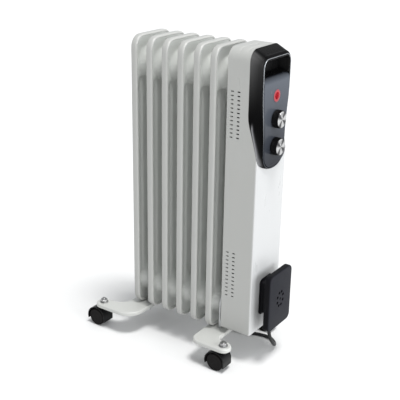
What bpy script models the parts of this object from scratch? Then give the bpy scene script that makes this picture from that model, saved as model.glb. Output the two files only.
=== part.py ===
"""Oil filled radiator heater on four swivel casters, as an assembly of separate pieces.

Units are metres, +Z is up. Lengths along X are measured from the outer face of fin 1, along the
stack of fins towards the control end. One empty, "heater", shifts that frame so that the world
origin lies under the middle of the whole heater, on the floor. Y runs across the fins.
"""

import math

import bmesh
import bpy
from mathutils import Matrix, Vector

GAP = 0.0003

# Fin stack
FIN_COUNT = 7
PITCH = 0.0365
FIN_WIDTH = 0.116
FIN_BOTTOM = 0.054
FIN_TOP = 0.628
FIN_CORNER = 0.024
RIM_DEPTH = 0.014
RIM_WIDTH = 0.003
WEB_HALF = 0.0035
END_FIN_WIDTH = 0.092
END_FIN_DROP = 0.016
GALLERY_HALF_Y = 0.038
GALLERY_HALF_Z = 0.026
GALLERY_FROM_EDGE = 0.054
GALLERY_BORE = 0.013

# Sheet steel control housing
HOUSING_REAR = 0.219
HOUSING_FRONT = 0.2865
HOUSING_HALF_Y = 0.054
HOUSING_BOTTOM = 0.066
HOUSING_TOP = 0.630
HOUSING_CORNER = 0.022
SHEET = 0.0015

# Black control panel shell and its fascia
PANEL_REAR = 0.265
PANEL_FRONT = 0.289
PANEL_BOTTOM = 0.404
PANEL_FRONT_TOP = 0.616
FASCIA_THICK = 0.002
FASCIA_HALF_TOP = 0.048
FASCIA_HALF_LOW = 0.041
GRIP_LIP = 0.580
GRIP_TOP = 0.609
GRIP_DEPTH = 0.021
LAMP_Z = 0.5425
KNOB_THERMOSTAT_Z = 0.500
KNOB_SELECTOR_Z = 0.448
KNOB_RADIUS = 0.017
KNOB_FRONT = 0.3050

# Cord storage plate on the end face
WRAP_FRONT = 0.322
WRAP_PLATE_BACK = 0.311
WRAP_HALF_Y = 0.043
WRAP_BOTTOM = 0.081
WRAP_TOP = 0.198

# Feet and casters
FOOT_TOP = FIN_BOTTOM - GAP
FOOT_SHEET = 0.0018
FOOT_DEPTH = 0.0078
FOOT_BAR = {"left": (-0.012, 0.035), "right": (0.181, 0.228)}
BOLT_X = {"left": -0.054, "right": 0.252}
BOLT_Y = 0.094
ARM_HALF = 0.016
U_BOLT_HALF = 0.0385
U_BOLT_RISE = 0.0275
U_BOLT_ROD = 0.003
CASTER_TRAIL = 0.011
WHEEL_RADIUS = 0.0185
WHEEL_INNER_Y = 0.0062
WHEEL_OUTER_Y = 0.0147
HOOD_RADIUS = 0.0238
HOOD_WALL = 0.0021
HOOD_FRONT = 0.0213
HOOD_HALF_Y = 0.0150
HOOD_TOP = 0.0450
WEB_HALF_Y = 0.0058
STEM_RADIUS = 0.004
AXLE_RADIUS = 0.0025

# Mains cord
CORD_DIAMETER = 0.007
COIL_CENTRE = (0.112, 0.112)
COIL_MEAN_RADIUS = 0.0385
COIL_HALF_WIDTH = 0.0072
COIL_HEIGHT = 0.0212
COIL_BASE = 0.0012
COIL_SIDES = 26
PLUG_TAIL_Y = 0.012
TIE_THICK = 0.0008
TIE_HALF = 0.004
TIE_SLACK = 0.0009

X_MIN = BOLT_X["left"] - CASTER_TRAIL - HOOD_RADIUS
CENTRE_X = (X_MIN + WRAP_FRONT) / 2

WHITE = (0.80, 0.80, 0.78)
BLACK = (0.012, 0.012, 0.013)
STEEL = (0.55, 0.56, 0.57)


# ---------------------------------------------------------------- scene and material helpers

def clear_scene():
    for thing in list(bpy.data.objects):
        bpy.data.objects.remove(thing, do_unlink=True)


def material(name, colour, roughness, metallic=0.0):
    mat = bpy.data.materials.new(name)
    mat.use_nodes = True
    shader = mat.node_tree.nodes["Principled BSDF"]
    shader.inputs["Base Color"].default_value = (*colour, 1.0)
    shader.inputs["Roughness"].default_value = roughness
    shader.inputs["Metallic"].default_value = metallic
    return mat


def empty(name, location, parent=None):
    thing = bpy.data.objects.new(name, None)
    bpy.context.collection.objects.link(thing)
    thing.parent = parent
    thing.location = location
    return thing


def place(name, mesh, mat, parent, location=(0, 0, 0)):
    """Links a mesh as a named object, in its own material when it has one."""
    thing = bpy.data.objects.new(name, mesh)
    bpy.context.collection.objects.link(thing)
    thing.parent = parent
    thing.location = location
    if mat is not None and not mesh.materials:
        mesh.materials.append(mat)
    return thing


def finish_mesh(bm, name, smooth_angle=40):
    bmesh.ops.recalc_face_normals(bm, faces=bm.faces)
    mesh = bpy.data.meshes.new(name)
    bm.to_mesh(mesh)
    bm.free()
    mesh.shade_smooth()
    mesh.set_sharp_from_angle(angle=math.radians(smooth_angle))
    return mesh


# ---------------------------------------------------------------- outline helpers

def circle(radius, count):
    steps = [2 * math.pi * i / count for i in range(count)]
    return [(radius * math.cos(a), radius * math.sin(a)) for a in steps]


def ellipse(half_u, half_v, count):
    return [(half_u * u, half_v * v) for u, v in circle(1.0, count)]


def hexagon(across_flats, count):
    """A hexagon with its outline split into count points, at the angles of a circle."""
    points = []
    for u, v in circle(1.0, count):
        angle = (math.atan2(v, u) % (math.pi / 3)) - math.pi / 6
        reach = across_flats / 2 / math.cos(angle)
        points.append((reach * u, reach * v))
    return points


def round_corners(corners, steps):
    """Replaces each corner (u, v, radius) of a polygon by an arc of steps + 1 points."""
    points = []
    for i, (u, v, radius) in enumerate(corners):
        here = Vector((u, v))
        before = Vector(corners[i - 1][:2]) - here
        after = Vector(corners[(i + 1) % len(corners)][:2]) - here
        if radius <= 0:
            points.append((u, v))
            continue
        half = before.angle(after) / 2
        reach = radius / math.tan(half)
        first = here + before.normalized() * reach
        last = here + after.normalized() * reach
        middle = (before.normalized() + after.normalized()).normalized()
        centre = here + middle * (radius / math.sin(half))
        start = first - centre
        sweep = start.angle_signed(last - centre)
        for k in range(steps + 1):
            angle = -sweep * k / steps
            turned = Matrix.Rotation(angle, 2) @ start
            points.append(tuple(centre + turned))
    return points


def rounded_box(half_u, v_low, v_high, radius, steps=4):
    corners = [(half_u, v_low, radius), (half_u, v_high, radius),
               (-half_u, v_high, radius), (-half_u, v_low, radius)]
    return round_corners(corners, steps)


def inset(points, distance):
    """Moves every point of a counter-clockwise outline inwards by the distance."""
    moved = []
    for i, (u, v) in enumerate(points):
        here = Vector((u, v))
        before = (here - Vector(points[i - 1])).normalized()
        after = (Vector(points[(i + 1) % len(points)]) - here).normalized()
        normal = Vector((-(before.y + after.y), before.x + after.x))
        cosine = max(0.3, math.sqrt(max(0.0, (1 + before.dot(after)) / 2)))
        moved.append(tuple(here + normal.normalized() * (distance / cosine)))
    return moved


# ---------------------------------------------------------------- solid helpers

def along_x(outline, x):
    return [(x, u, v) for u, v in outline]


def along_y(outline, y):
    return [(u, y, v) for u, v in outline]


def along_z(outline, z):
    return [(u, v, z) for u, v in outline]


def loft(name, rings, smooth_angle=40):
    """A closed solid through rings with equal point counts, with a flat cap at each end."""
    bm = bmesh.new()
    loops = [[bm.verts.new(point) for point in ring] for ring in rings]
    count = len(loops[0])
    for lower, upper in zip(loops, loops[1:]):
        for i in range(count):
            k = (i + 1) % count
            bm.faces.new((lower[i], lower[k], upper[k], upper[i]))
    bm.faces.new(loops[0][::-1])
    bm.faces.new(loops[-1])
    return finish_mesh(bm, name, smooth_angle)


def closed_loft(name, rings, smooth_angle=40):
    """A solid whose rings run all the way round and meet again, as in a hoop."""
    bm = bmesh.new()
    loops = [[bm.verts.new(point) for point in ring] for ring in rings]
    count = len(loops[0])
    for here, there in zip(loops, loops[1:] + loops[:1]):
        for i in range(count):
            k = (i + 1) % count
            bm.faces.new((here[i], here[k], there[k], there[i]))
    return finish_mesh(bm, name, smooth_angle)


def turned(name, profile, count, axis, smooth_angle=40):
    """A solid turned about an axis, from (radius, height) pairs; the ends are capped."""
    place_ring = {"X": along_x, "Y": along_y, "Z": along_z}[axis]
    rings = [place_ring(circle(radius, count), height) for radius, height in profile]
    return loft(name, rings, smooth_angle)


def block(name, low, high, bevel=0.0):
    """A box between two corners, with its edges bevelled when asked."""
    bm = bmesh.new()
    bmesh.ops.create_cube(bm, size=1.0)
    size = [h - l for l, h in zip(low, high)]
    middle = [(h + l) / 2 for l, h in zip(low, high)]
    bmesh.ops.scale(bm, vec=size, verts=bm.verts)
    bmesh.ops.translate(bm, vec=middle, verts=bm.verts)
    if bevel > 0:
        bmesh.ops.bevel(bm, geom=bm.edges, offset=bevel, segments=1, affect="EDGES")
    return finish_mesh(bm, name)


def cutter(name, mesh, parent, location=(0, 0, 0)):
    thing = place(name, mesh, None, parent, location)
    thing.hide_render = True
    thing.display_type = "WIRE"
    return thing


def combine(target, tool, operation):
    modifier = target.modifiers.new(operation.title() + "_" + tool.name, "BOOLEAN")
    modifier.operation = operation
    modifier.object = tool
    modifier.solver = "EXACT"


# ---------------------------------------------------------------- the fin stack

def fin_mesh(name, half_width, bottom, top):
    """A pressed fin: a deep rim round a recessed face, the same on both sides."""
    middle = RIM_DEPTH / 2
    steps = [(RIM_WIDTH + 0.002, middle - WEB_HALF), (RIM_WIDTH, 0.0), (0.0015, 0.0), (0.0, 0.002)]
    half = [(distance, x) for distance, x in steps]
    mirrored = [(distance, RIM_DEPTH - x) for distance, x in reversed(half)]
    rings = []
    for distance, x in half + mirrored:
        radius = max(FIN_CORNER - distance, 0.008)
        outline = rounded_box(half_width - distance, bottom + distance, top - distance, radius, 3)
        rings.append(along_x(outline, x))
    return loft(name, rings, 30)


def gallery_mesh(name, first, last):
    """The pressed bulge through a fin that joins its oil space to its neighbours'."""
    middle = RIM_DEPTH / 2
    scales = [(first, 0.88), (middle - 0.004, 1.2), (middle + 0.004, 1.2), (last, 0.88)]
    rings = []
    for x, scale in scales:
        outline = ellipse(GALLERY_HALF_Y * scale, GALLERY_HALF_Z * scale, 16)
        rings.append(along_x(outline, x))
    return loft(name, rings, 50)


def gallery_heights(bottom, top):
    return {"low": bottom + GALLERY_FROM_EDGE, "high": top - GALLERY_FROM_EDGE}


def make_fins(root, paint):
    """Seven fins with their galleries meeting face to face, and one bore through the lower."""
    heights = gallery_heights(FIN_BOTTOM, FIN_TOP)
    reach = (PITCH - RIM_DEPTH) / 2 - GAP / 2
    bore_start = 0.005
    bore_end = (FIN_COUNT - 1) * PITCH + RIM_DEPTH + reach + 0.01
    bore_mesh = turned("gallery_bore", [(GALLERY_BORE, bore_start), (GALLERY_BORE, bore_end)], 12, "X")
    bore = cutter("cut_gallery_bore", bore_mesh, root, (0, 0, heights["low"]))
    full = fin_mesh("fin", FIN_WIDTH / 2, FIN_BOTTOM, FIN_TOP)
    narrow = fin_mesh("end_fin", END_FIN_WIDTH / 2, FIN_BOTTOM + END_FIN_DROP, FIN_TOP - END_FIN_DROP)
    inner = gallery_mesh("gallery", -reach, RIM_DEPTH + reach)
    outer = gallery_mesh("gallery_outer", -0.003, RIM_DEPTH + reach)
    for i in range(FIN_COUNT):
        last = i == FIN_COUNT - 1
        x = i * PITCH
        mesh = narrow if last else full
        fin = place("end_fin" if last else f"fin_{i + 1}", mesh, paint, root, (x, 0, 0))
        bulge = outer if i == 0 else inner
        for level, z in heights.items():
            tool = cutter(f"add_gallery_{level}_{i + 1}", bulge, root, (x, 0, z))
            combine(fin, tool, "UNION")
        combine(fin, bore, "DIFFERENCE")


def make_filler_plug(root, mat):
    start = (FIN_COUNT - 1) * PITCH + RIM_DEPTH + (PITCH - RIM_DEPTH) / 2 + GAP / 2
    profile = [(0.012, 0.0), (0.012, 0.002)]
    rings = [along_x(circle(radius, 18), x) for radius, x in profile]
    rings += [along_x(hexagon(0.017, 18), x) for x in (0.0021, 0.0085)]
    z = gallery_heights(FIN_BOTTOM, FIN_TOP)["high"]
    place("oil_filler_plug", loft("oil_filler_plug", rings, 30), mat, root, (start, 0, z))


def make_heating_element(root, sheath_mat, head_mat):
    """A hairpin element lying in the lower gallery, held by a hexagonal head."""
    z = gallery_heights(FIN_BOTTOM, FIN_TOP)["low"]
    face = (FIN_COUNT - 1) * PITCH + RIM_DEPTH + (PITCH - RIM_DEPTH) / 2 + GAP / 2
    leg = 0.006
    turn_x = 0.020
    points = [(face - GAP, leg)]
    points += [(turn_x - leg * math.sin(math.pi * k / 8), leg * math.cos(math.pi * k / 8)) for k in range(9)]
    points.append((face - GAP, -leg))
    curve = bpy.data.curves.new("heating_element", "CURVE")
    curve.dimensions = "3D"
    curve.bevel_depth = 0.0032
    curve.bevel_resolution = 2
    curve.use_fill_caps = True
    spline = curve.splines.new("POLY")
    spline.points.add(len(points) - 1)
    for point, (x, y) in zip(spline.points, points):
        point.co = (x, y, 0.0, 1.0)
    place("heating_element", curve, sheath_mat, root, (0, 0, z))
    rings = [along_x(circle(0.0205, 18), x) for x in (0.0, 0.002)]
    rings += [along_x(hexagon(0.030, 18), x) for x in (0.0021, 0.0085)]
    rings += [along_x(circle(0.009, 18), x) for x in (0.0086, 0.0108)]
    place("element_head", loft("element_head", rings, 30), head_mat, root, (face, 0, z))


# ---------------------------------------------------------------- the control housing

def housing_outline(distance=0.0):
    half = HOUSING_HALF_Y - distance
    low = HOUSING_BOTTOM + distance
    high = HOUSING_TOP - distance
    top = HOUSING_CORNER - distance
    corners = [(half, low, 0.004), (half, high, top), (-half, high, top), (-half, low, 0.004)]
    return round_corners(corners, 5)


def seam_line(shift):
    """The housing's edge behind the panel in the XZ plane: straight down, then swept forwards."""
    line = [(PANEL_REAR, 0.700), (PANEL_REAR, 0.506)]
    line += [(PANEL_REAR + 0.007, 0.481), (PANEL_REAR + 0.0135, 0.459)]
    line += [(PANEL_REAR + 0.0195, 0.436), (PANEL_REAR + 0.0245, 0.398)]
    return [(x + shift, z) for x, z in line]


def make_housing(root, paint):
    bevel = 0.003
    rings = [along_x(housing_outline(), HOUSING_REAR),
             along_x(housing_outline(), HOUSING_FRONT - bevel),
             along_x(housing_outline(0.0009), HOUSING_FRONT - 0.0009),
             along_x(housing_outline(bevel), HOUSING_FRONT)]
    housing = place("control_housing", loft("control_housing", rings, 30), paint, root)
    hollow = [along_x(housing_outline(SHEET), HOUSING_REAR - 0.01),
              along_x(housing_outline(SHEET), HOUSING_FRONT - SHEET)]
    combine(housing, cutter("cut_housing_hollow", loft("cut_hollow", hollow), root), "DIFFERENCE")
    corner = seam_line(-GAP) + [(0.36, 0.398), (0.36, 0.700)]
    wedge = [along_y(corner, y) for y in (-0.08, 0.08)]
    combine(housing, cutter("cut_panel_corner", loft("cut_panel_corner", wedge), root), "DIFFERENCE")


def panel_outline(half, top, radius, distance=0.0):
    """Straight sides, round top corners and a shallow arc along the bottom."""
    half -= distance
    top -= distance
    radius = max(radius - distance, 0.004)
    rise = 0.013
    low = PANEL_BOTTOM + distance
    upper = round_corners([(half, 0.5, 0), (half, top, radius), (-half, top, radius), (-half, 0.5, 0)], 5)
    bottom = []
    for k in range(9):
        y = -half + 2 * half * k / 8
        bottom.append((y, low + rise * (y / half) ** 2 + 0.012 * (y / half) ** 8))
    return upper + bottom


def make_panel_shell(root, mat):
    top_drop = HOUSING_TOP - PANEL_FRONT_TOP
    edge = 0.004
    rings = [
        along_x(panel_outline(HOUSING_HALF_Y, HOUSING_TOP, 0.022), PANEL_REAR),
        along_x(panel_outline(HOUSING_HALF_Y, HOUSING_TOP - top_drop * 0.75, 0.020), PANEL_FRONT - edge),
        along_x(panel_outline(0.0528, PANEL_FRONT_TOP + 0.0012, 0.019), PANEL_FRONT - 0.0012),
        along_x(panel_outline(0.0505, PANEL_FRONT_TOP - 0.001, 0.017), PANEL_FRONT),
    ]
    shell = place("panel_shell", loft("panel_shell", rings, 30), mat, root)
    behind = seam_line(GAP) + [(0.20, 0.398), (0.20, 0.700)]
    wedge = [along_y(behind, y) for y in (-0.08, 0.08)]
    combine(shell, cutter("cut_panel_seam", loft("cut_panel_seam", wedge), root), "DIFFERENCE")
    hollow_corners = [(PANEL_FRONT - 0.0025, 0.570), (0.20, 0.570), (0.20, 0.434),
                      (PANEL_FRONT - 0.0025, 0.434)]
    hollow = [along_y(hollow_corners, y) for y in (-0.0505, 0.0505)]
    combine(shell, cutter("cut_panel_hollow", loft("cut_panel_hollow", hollow), root), "DIFFERENCE")
    step_corners = [(HOUSING_FRONT + GAP, 0.43), (0.20, 0.43), (0.20, 0.35), (HOUSING_FRONT + GAP, 0.35)]
    step = [along_y(step_corners, y) for y in (-0.08, 0.08)]
    combine(shell, cutter("cut_panel_step", loft("cut_panel_step", step), root), "DIFFERENCE")
    grip = grip_mesh()
    combine(shell, cutter("cut_grip", grip, root), "DIFFERENCE")
    for label, z, radius in panel_holes():
        hole = turned("hole_" + label, [(radius, 0.270), (radius, 0.320)], 16, "X")
        tool = cutter("cut_shell_" + label, hole, root, (0, 0, z))
        combine(shell, tool, "DIFFERENCE")


def panel_holes():
    return [("thermostat", KNOB_THERMOSTAT_Z, 0.0045), ("selector", KNOB_SELECTOR_Z, 0.0045),
            ("lamp", LAMP_Z, 0.0044)]


def grip_mesh():
    """The finger pocket: a rounded slot that narrows a little towards its back."""
    rings = []
    for x, shrink in ((PANEL_FRONT - GRIP_DEPTH, 0.004), (PANEL_FRONT - 0.006, 0.001), (0.310, 0.0)):
        outline = rounded_box(0.0445 - shrink, GRIP_LIP + shrink, GRIP_TOP - shrink, 0.008, 3)
        rings.append(along_x(outline, x))
    return loft("grip_pocket", rings)


def fascia_outline(top, distance=0.0):
    """The fascia narrows a little downwards and ends in a shallow arc."""
    def half_at(z):
        share = (PANEL_FRONT_TOP - z) / (PANEL_FRONT_TOP - 0.44)
        return FASCIA_HALF_TOP + (FASCIA_HALF_LOW - FASCIA_HALF_TOP) * min(share, 1.0) - distance

    radius = 0.015 if top > GRIP_LIP else 0.0015
    upper = top - distance
    half = half_at(upper)
    points = round_corners([(half_at(0.44), 0.44, 0), (half, upper, radius),
                            (-half, upper, radius), (-half_at(0.44), 0.44, 0)], 4)
    low = PANEL_BOTTOM + 0.003 + distance
    base = half_at(0.44)
    for k in range(1, 12):
        angle = math.pi + math.pi * k / 12
        depth = 0.44 - low
        power = abs(math.sin(angle)) ** 0.75
        points.append((base * math.cos(angle), 0.44 - depth * power))
    return points


def make_fascia(root, face_mat, trim_mat):
    back = PANEL_FRONT + GAP
    front = back + FASCIA_THICK
    outline = fascia_outline(GRIP_LIP - GAP, 0.0022)
    inner = fascia_outline(GRIP_LIP - GAP, 0.0028)
    rings = [along_x(outline, back), along_x(outline, front - 0.0006), along_x(inner, front)]
    fascia = place("fascia", loft("fascia", rings, 30), face_mat, root)
    for label, z, radius in panel_holes():
        hole = turned("fascia_" + label, [(radius, 0.270), (radius, 0.320)], 16, "X")
        combine(fascia, cutter("cut_fascia_" + label, hole, root, (0, 0, z)), "DIFFERENCE")
    ring_out = fascia_outline(PANEL_FRONT_TOP - 0.004)
    ring_in = fascia_outline(PANEL_FRONT_TOP - 0.004, 0.0018)
    rings = [along_x(ring_out, back), along_x(ring_out, front + 0.0004),
             along_x(ring_in, front + 0.0004), along_x(ring_in, back)]
    place("fascia_trim", closed_loft("fascia_trim", rings, 30), trim_mat, root)


# ---------------------------------------------------------------- controls

def make_control(label, root, z, mats):
    """A rotary control: its body, spindle, knob and metal cap, all on one X axis."""
    body_front = PANEL_FRONT - 0.0025 - GAP
    body_mesh = block(label + "_body", (body_front - 0.017, -0.015, -0.013), (body_front, 0.015, 0.013), 0.0015)
    body = place(label + "_body", body_mesh, mats["body"], root, (0, 0, z))
    bore = turned("bore_" + label, [(0.0034, body_front - 0.006), (0.0034, body_front + 0.004)], 12, "X")
    combine(body, cutter("cut_" + label + "_body", bore, root, (0, 0, z)), "DIFFERENCE")
    axis = empty(label + "_axis", (0, 0, z), root)
    back = PANEL_FRONT + FASCIA_THICK + 0.0009
    spindle = [(0.003, body_front - 0.0055), (0.003, back + 0.0085)]
    place(label + "_spindle", turned(label + "_spindle", spindle, 12, "X"), mats["spindle"], axis)
    wall = KNOB_FRONT - 0.0005
    profile = [(KNOB_RADIUS - 0.0008, back), (KNOB_RADIUS, back + 0.001), (KNOB_RADIUS, back + 0.002),
               (KNOB_RADIUS - 0.0003, wall - 0.0008), (KNOB_RADIUS - 0.0007, wall),
               (KNOB_RADIUS - 0.0012, wall), (KNOB_RADIUS - 0.0012, wall - 0.0010)]
    knob = place(label + "_knob", turned(label + "_knob", profile, 20, "X", 30), mats["knob"], axis)
    socket = turned("socket_" + label, [(0.0034, back - 0.002), (0.0034, back + 0.009)], 12, "X")
    combine(knob, cutter("cut_" + label + "_knob", socket, axis), "DIFFERENCE")
    seat = wall - 0.0010 + GAP
    radius = KNOB_RADIUS - 0.0015
    cap = [(radius, seat), (radius, seat + 0.0009), (radius - 0.0004, seat + 0.0013)]
    place(label + "_cap", turned(label + "_cap", cap, 20, "X", 30), mats["cap"], axis)


def make_lamp(root, lens_mat):
    """A push-in pilot lamp: a domed lens with its body behind the panel."""
    seat = PANEL_FRONT + GAP + FASCIA_THICK
    lens = [(0.0036, PANEL_FRONT - 0.020), (0.0040, PANEL_FRONT - 0.018), (0.0040, seat + GAP),
            (0.0052, seat + GAP + 0.0001), (0.0052, seat + 0.0010), (0.0040, seat + 0.0020),
            (0.0018, seat + 0.0026)]
    lamp = turned("indicator_lamp", lens, 16, "X", 60)
    place("indicator_lamp", lamp, lens_mat, root, (0, 0, LAMP_Z))


def make_inside(root, mats):
    """The shield across the housing, with the cut-out and the terminals fixed to it."""
    half = HOUSING_HALF_Y - SHEET - GAP
    shield = block("heat_shield", (0.2565, -half, 0.150), (0.2575, half, 0.560))
    place("heat_shield", shield, mats["shield"], root)
    cutout = [(0.0085, 0.2578), (0.0085, 0.2642), (0.0060, 0.2644), (0.0060, 0.2682)]
    place("thermal_cutout", turned("thermal_cutout", cutout, 16, "X", 30), mats["body"], root, (0, 0, 0.250))
    terminals = block("terminal_block", (0.2578, -0.022, 0.176), (0.2730, 0.022, 0.196), 0.001)
    place("terminal_block", terminals, mats["terminals"], root)


# ---------------------------------------------------------------- cord storage and mains cord

def make_cord_wrap(root, mat):
    """A plate on a neck, with a gap behind it to wind the cord in."""
    back = HOUSING_FRONT + GAP
    middle = (WRAP_TOP + WRAP_BOTTOM) / 2
    plate = (WRAP_TOP - WRAP_BOTTOM) / 2
    sections = [(back, 0.038, 0.041, 0.010), (back + 0.0025, 0.038, 0.041, 0.010),
                (back + 0.0035, 0.031, 0.035, 0.009), (WRAP_PLATE_BACK - 0.001, 0.031, 0.035, 0.009),
                (WRAP_PLATE_BACK, WRAP_HALF_Y - 0.003, plate - 0.003, 0.009),
                (WRAP_PLATE_BACK + 0.003, WRAP_HALF_Y, plate, 0.012),
                (WRAP_FRONT - 0.003, WRAP_HALF_Y, plate, 0.012),
                (WRAP_FRONT, WRAP_HALF_Y - 0.003, plate - 0.003, 0.009)]
    rings = []
    for x, half_y, half_z, radius in sections:
        outline = rounded_box(half_y, middle - half_z, middle + half_z, radius, 4)
        rings.append(along_x(outline, x))
    place("cord_wrap", loft("cord_wrap", rings, 30), mat, root)


def smooth_path(points, spacing):
    """Catmull-Rom curve through the points, read off at an even spacing."""
    nodes = [Vector(p) for p in points]
    nodes = [nodes[0] * 2 - nodes[1], *nodes, nodes[-1] * 2 - nodes[-2]]
    dense = []
    for a, b, c, d in zip(nodes, nodes[1:], nodes[2:], nodes[3:]):
        for k in range(24):
            t = k / 24
            dense.append(0.5 * ((2 * b) + (c - a) * t + (2 * a - 5 * b + 4 * c - d) * t * t
                                + (3 * b - a - 3 * c + d) * t ** 3))
    dense.append(nodes[-2])
    total = sum((q - p).length for p, q in zip(dense, dense[1:]))
    count = max(2, round(total / spacing))
    wanted = [total * k / count for k in range(count + 1)]
    path, walked, k = [dense[0]], 0.0, 1
    for p, q in zip(dense, dense[1:]):
        step = (q - p).length
        while k < count and walked + step >= wanted[k]:
            path.append(p.lerp(q, (wanted[k] - walked) / step))
            k += 1
        walked += step
    path.append(dense[-1])
    return path


# The cord leaves the strain relief straight down, bends on to the floor, runs under the heater
# and meets the coil that lies behind it.
CORD_ROUTE = [
    (0.3000, 0.0000, 0.0807), (0.3000, 0.0003, 0.0640), (0.3008, 0.0030, 0.0480),
    (0.3018, 0.0098, 0.0335), (0.3010, 0.0215, 0.0195), (0.2960, 0.0360, 0.0090),
    (0.2860, 0.0510, 0.0045), (0.2700, 0.0610, 0.0037), (0.2480, 0.0600, 0.0037),
    (0.2240, 0.0520, 0.0037), (0.2000, 0.0460, 0.0037), (0.1770, 0.0500, 0.0037),
    (0.1635, 0.0625, 0.0037), (0.1590, 0.0800, 0.0037), (0.1581, 0.0950, 0.0037),
]


def make_cord(root, mats):
    curve = bpy.data.curves.new("cord", "CURVE")
    curve.dimensions = "3D"
    curve.bevel_depth = CORD_DIAMETER / 2
    curve.bevel_resolution = 2
    curve.use_fill_caps = True
    path = smooth_path(CORD_ROUTE, 0.0120)
    spline = curve.splines.new("POLY")
    spline.points.add(len(path) - 1)
    for point, place_at in zip(spline.points, path):
        point.co = (*place_at, 1.0)
    place("cord", curve, mats["cord"], root)
    make_strain_relief(root, mats["moulding"])
    make_coil(root, mats["cord"], mats["moulding"])
    make_plug(root, mats["moulding"])


def make_strain_relief(root, mat):
    neck_bottom = (WRAP_TOP + WRAP_BOTTOM) / 2 - 0.035
    start = neck_bottom - GAP
    end = CORD_ROUTE[0][2] + GAP
    profile = [(0.0072, start), (0.0072, start - 0.0025), (0.0058, start - 0.0030), (0.0040, end)]
    mesh = turned("strain_relief", profile, 16, "Z", 30)
    place("strain_relief", mesh, mat, root, (CORD_ROUTE[0][0], 0, 0))


def make_coil(root, mat, tie_mat):
    """The wound cord as one ring of its outer shape on the floor, held by a tie."""
    section = rounded_box(COIL_HALF_WIDTH, COIL_BASE, COIL_BASE + COIL_HEIGHT, 0.0035, 1)
    rings = []
    for i in range(COIL_SIDES):
        angle = 2 * math.pi * i / COIL_SIDES
        reach = [(COIL_MEAN_RADIUS + u, v) for u, v in section]
        rings.append([(u * math.cos(angle), u * math.sin(angle), v) for u, v in reach])
    place("cord_coil", closed_loft("cord_coil", rings, 60), mat, root, (*COIL_CENTRE, 0))
    inner_half = COIL_HALF_WIDTH + TIE_SLACK
    inner = rounded_box(inner_half, COIL_BASE - GAP, COIL_BASE + COIL_HEIGHT + GAP, 0.0034, 2)
    outer = inset(inner, -TIE_THICK)
    rings = [along_y(outer, -TIE_HALF), along_y(outer, TIE_HALF),
             along_y(inner, TIE_HALF), along_y(inner, -TIE_HALF)]
    tie = closed_loft("cord_tie", rings, 30)
    place("cord_tie", tie, tie_mat, root, (COIL_CENTRE[0] + COIL_MEAN_RADIUS, COIL_CENTRE[1], 0))


def make_plug(root, mat):
    """A two-pin moulded plug, lying on the coil along its turns, with its tail where they end."""
    half_thick = 0.0065
    outline_steps = [(0.000, 0.0045, 0.0045), (0.004, 0.0060, 0.0052), (0.010, 0.0120, 0.0062),
                     (0.018, 0.0150, half_thick), (0.034, 0.0162, half_thick), (0.036, 0.0150, 0.0055)]
    rings = []
    for x, half_y, half_z in outline_steps:
        outline = rounded_box(half_y, half_thick - half_z, half_thick + half_z, min(half_z, half_y) * 0.8, 3)
        rings.append(along_x(outline, x))
    tail = (COIL_CENTRE[0] - COIL_MEAN_RADIUS, COIL_CENTRE[1] + PLUG_TAIL_Y, COIL_BASE + COIL_HEIGHT + GAP)
    plug = place("plug", loft("plug", rings, 30), mat, root, tail)
    plug.rotation_euler = (0.0, 0.0, -math.pi / 2)
    for side, y in (("a", -0.0095), ("b", 0.0095)):
        pin = turned("pin_" + side, [(0.0024, 0.033), (0.0024, 0.053), (0.0014, 0.055)], 12, "X")
        tool = cutter("add_pin_" + side, pin, plug, (0, y, half_thick))
        combine(plug, tool, "UNION")


# ---------------------------------------------------------------- feet, bolts and casters

def foot_outline(side, distance=0.0):
    """A bar across the heater with an arm at each end, turned outwards to the casters."""
    low_x, high_x = FOOT_BAR[side]
    bolt = BOLT_X[side]
    tip = bolt + math.copysign(ARM_HALF, bolt - low_x)
    end = BOLT_Y + ARM_HALF
    root_y = BOLT_Y - ARM_HALF
    if side == "left":
        corners = [(high_x, -end, 0.028), (high_x, end, 0.028), (tip, end, 0.0158), (tip, root_y, 0.0158),
                   (low_x, root_y, 0.014), (low_x, -root_y, 0.014), (tip, -root_y, 0.0158), (tip, -end, 0.0158)]
    else:
        corners = [(low_x, -end, 0.028), (tip, -end, 0.0158), (tip, -root_y, 0.0158), (high_x, -root_y, 0.012),
                   (high_x, root_y, 0.012), (tip, root_y, 0.0158), (tip, end, 0.0158), (low_x, end, 0.028)]
    points = round_corners(corners, 4)
    return inset(points, distance) if distance else points


def make_foot(side, root, paint, bolt_x):
    base = FOOT_TOP - FOOT_DEPTH
    rings = [along_z(foot_outline(side), base), along_z(foot_outline(side), FOOT_TOP - 0.0012),
             along_z(foot_outline(side, 0.0012), FOOT_TOP)]
    foot = place("foot_" + side, loft("foot_" + side, rings, 30), paint, root)
    under = [along_z(foot_outline(side, FOOT_SHEET), base - 0.01),
             along_z(foot_outline(side, FOOT_SHEET), FOOT_TOP - FOOT_SHEET)]
    combine(foot, cutter("cut_foot_under_" + side, loft("cut_under_" + side, under), root), "DIFFERENCE")
    holes = [(BOLT_X[side], BOLT_Y, STEM_RADIUS), (BOLT_X[side], -BOLT_Y, STEM_RADIUS),
             (bolt_x, U_BOLT_HALF, U_BOLT_ROD), (bolt_x, -U_BOLT_HALF, U_BOLT_ROD)]
    for k, (x, y, radius) in enumerate(holes):
        drill = turned(f"drill_{side}_{k}", [(radius + 0.0004, 0.03), (radius + 0.0004, 0.07)], 14, "Z")
        combine(foot, cutter(f"cut_foot_{side}_{k}", drill, root, (x, y, 0)), "DIFFERENCE")


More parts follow.
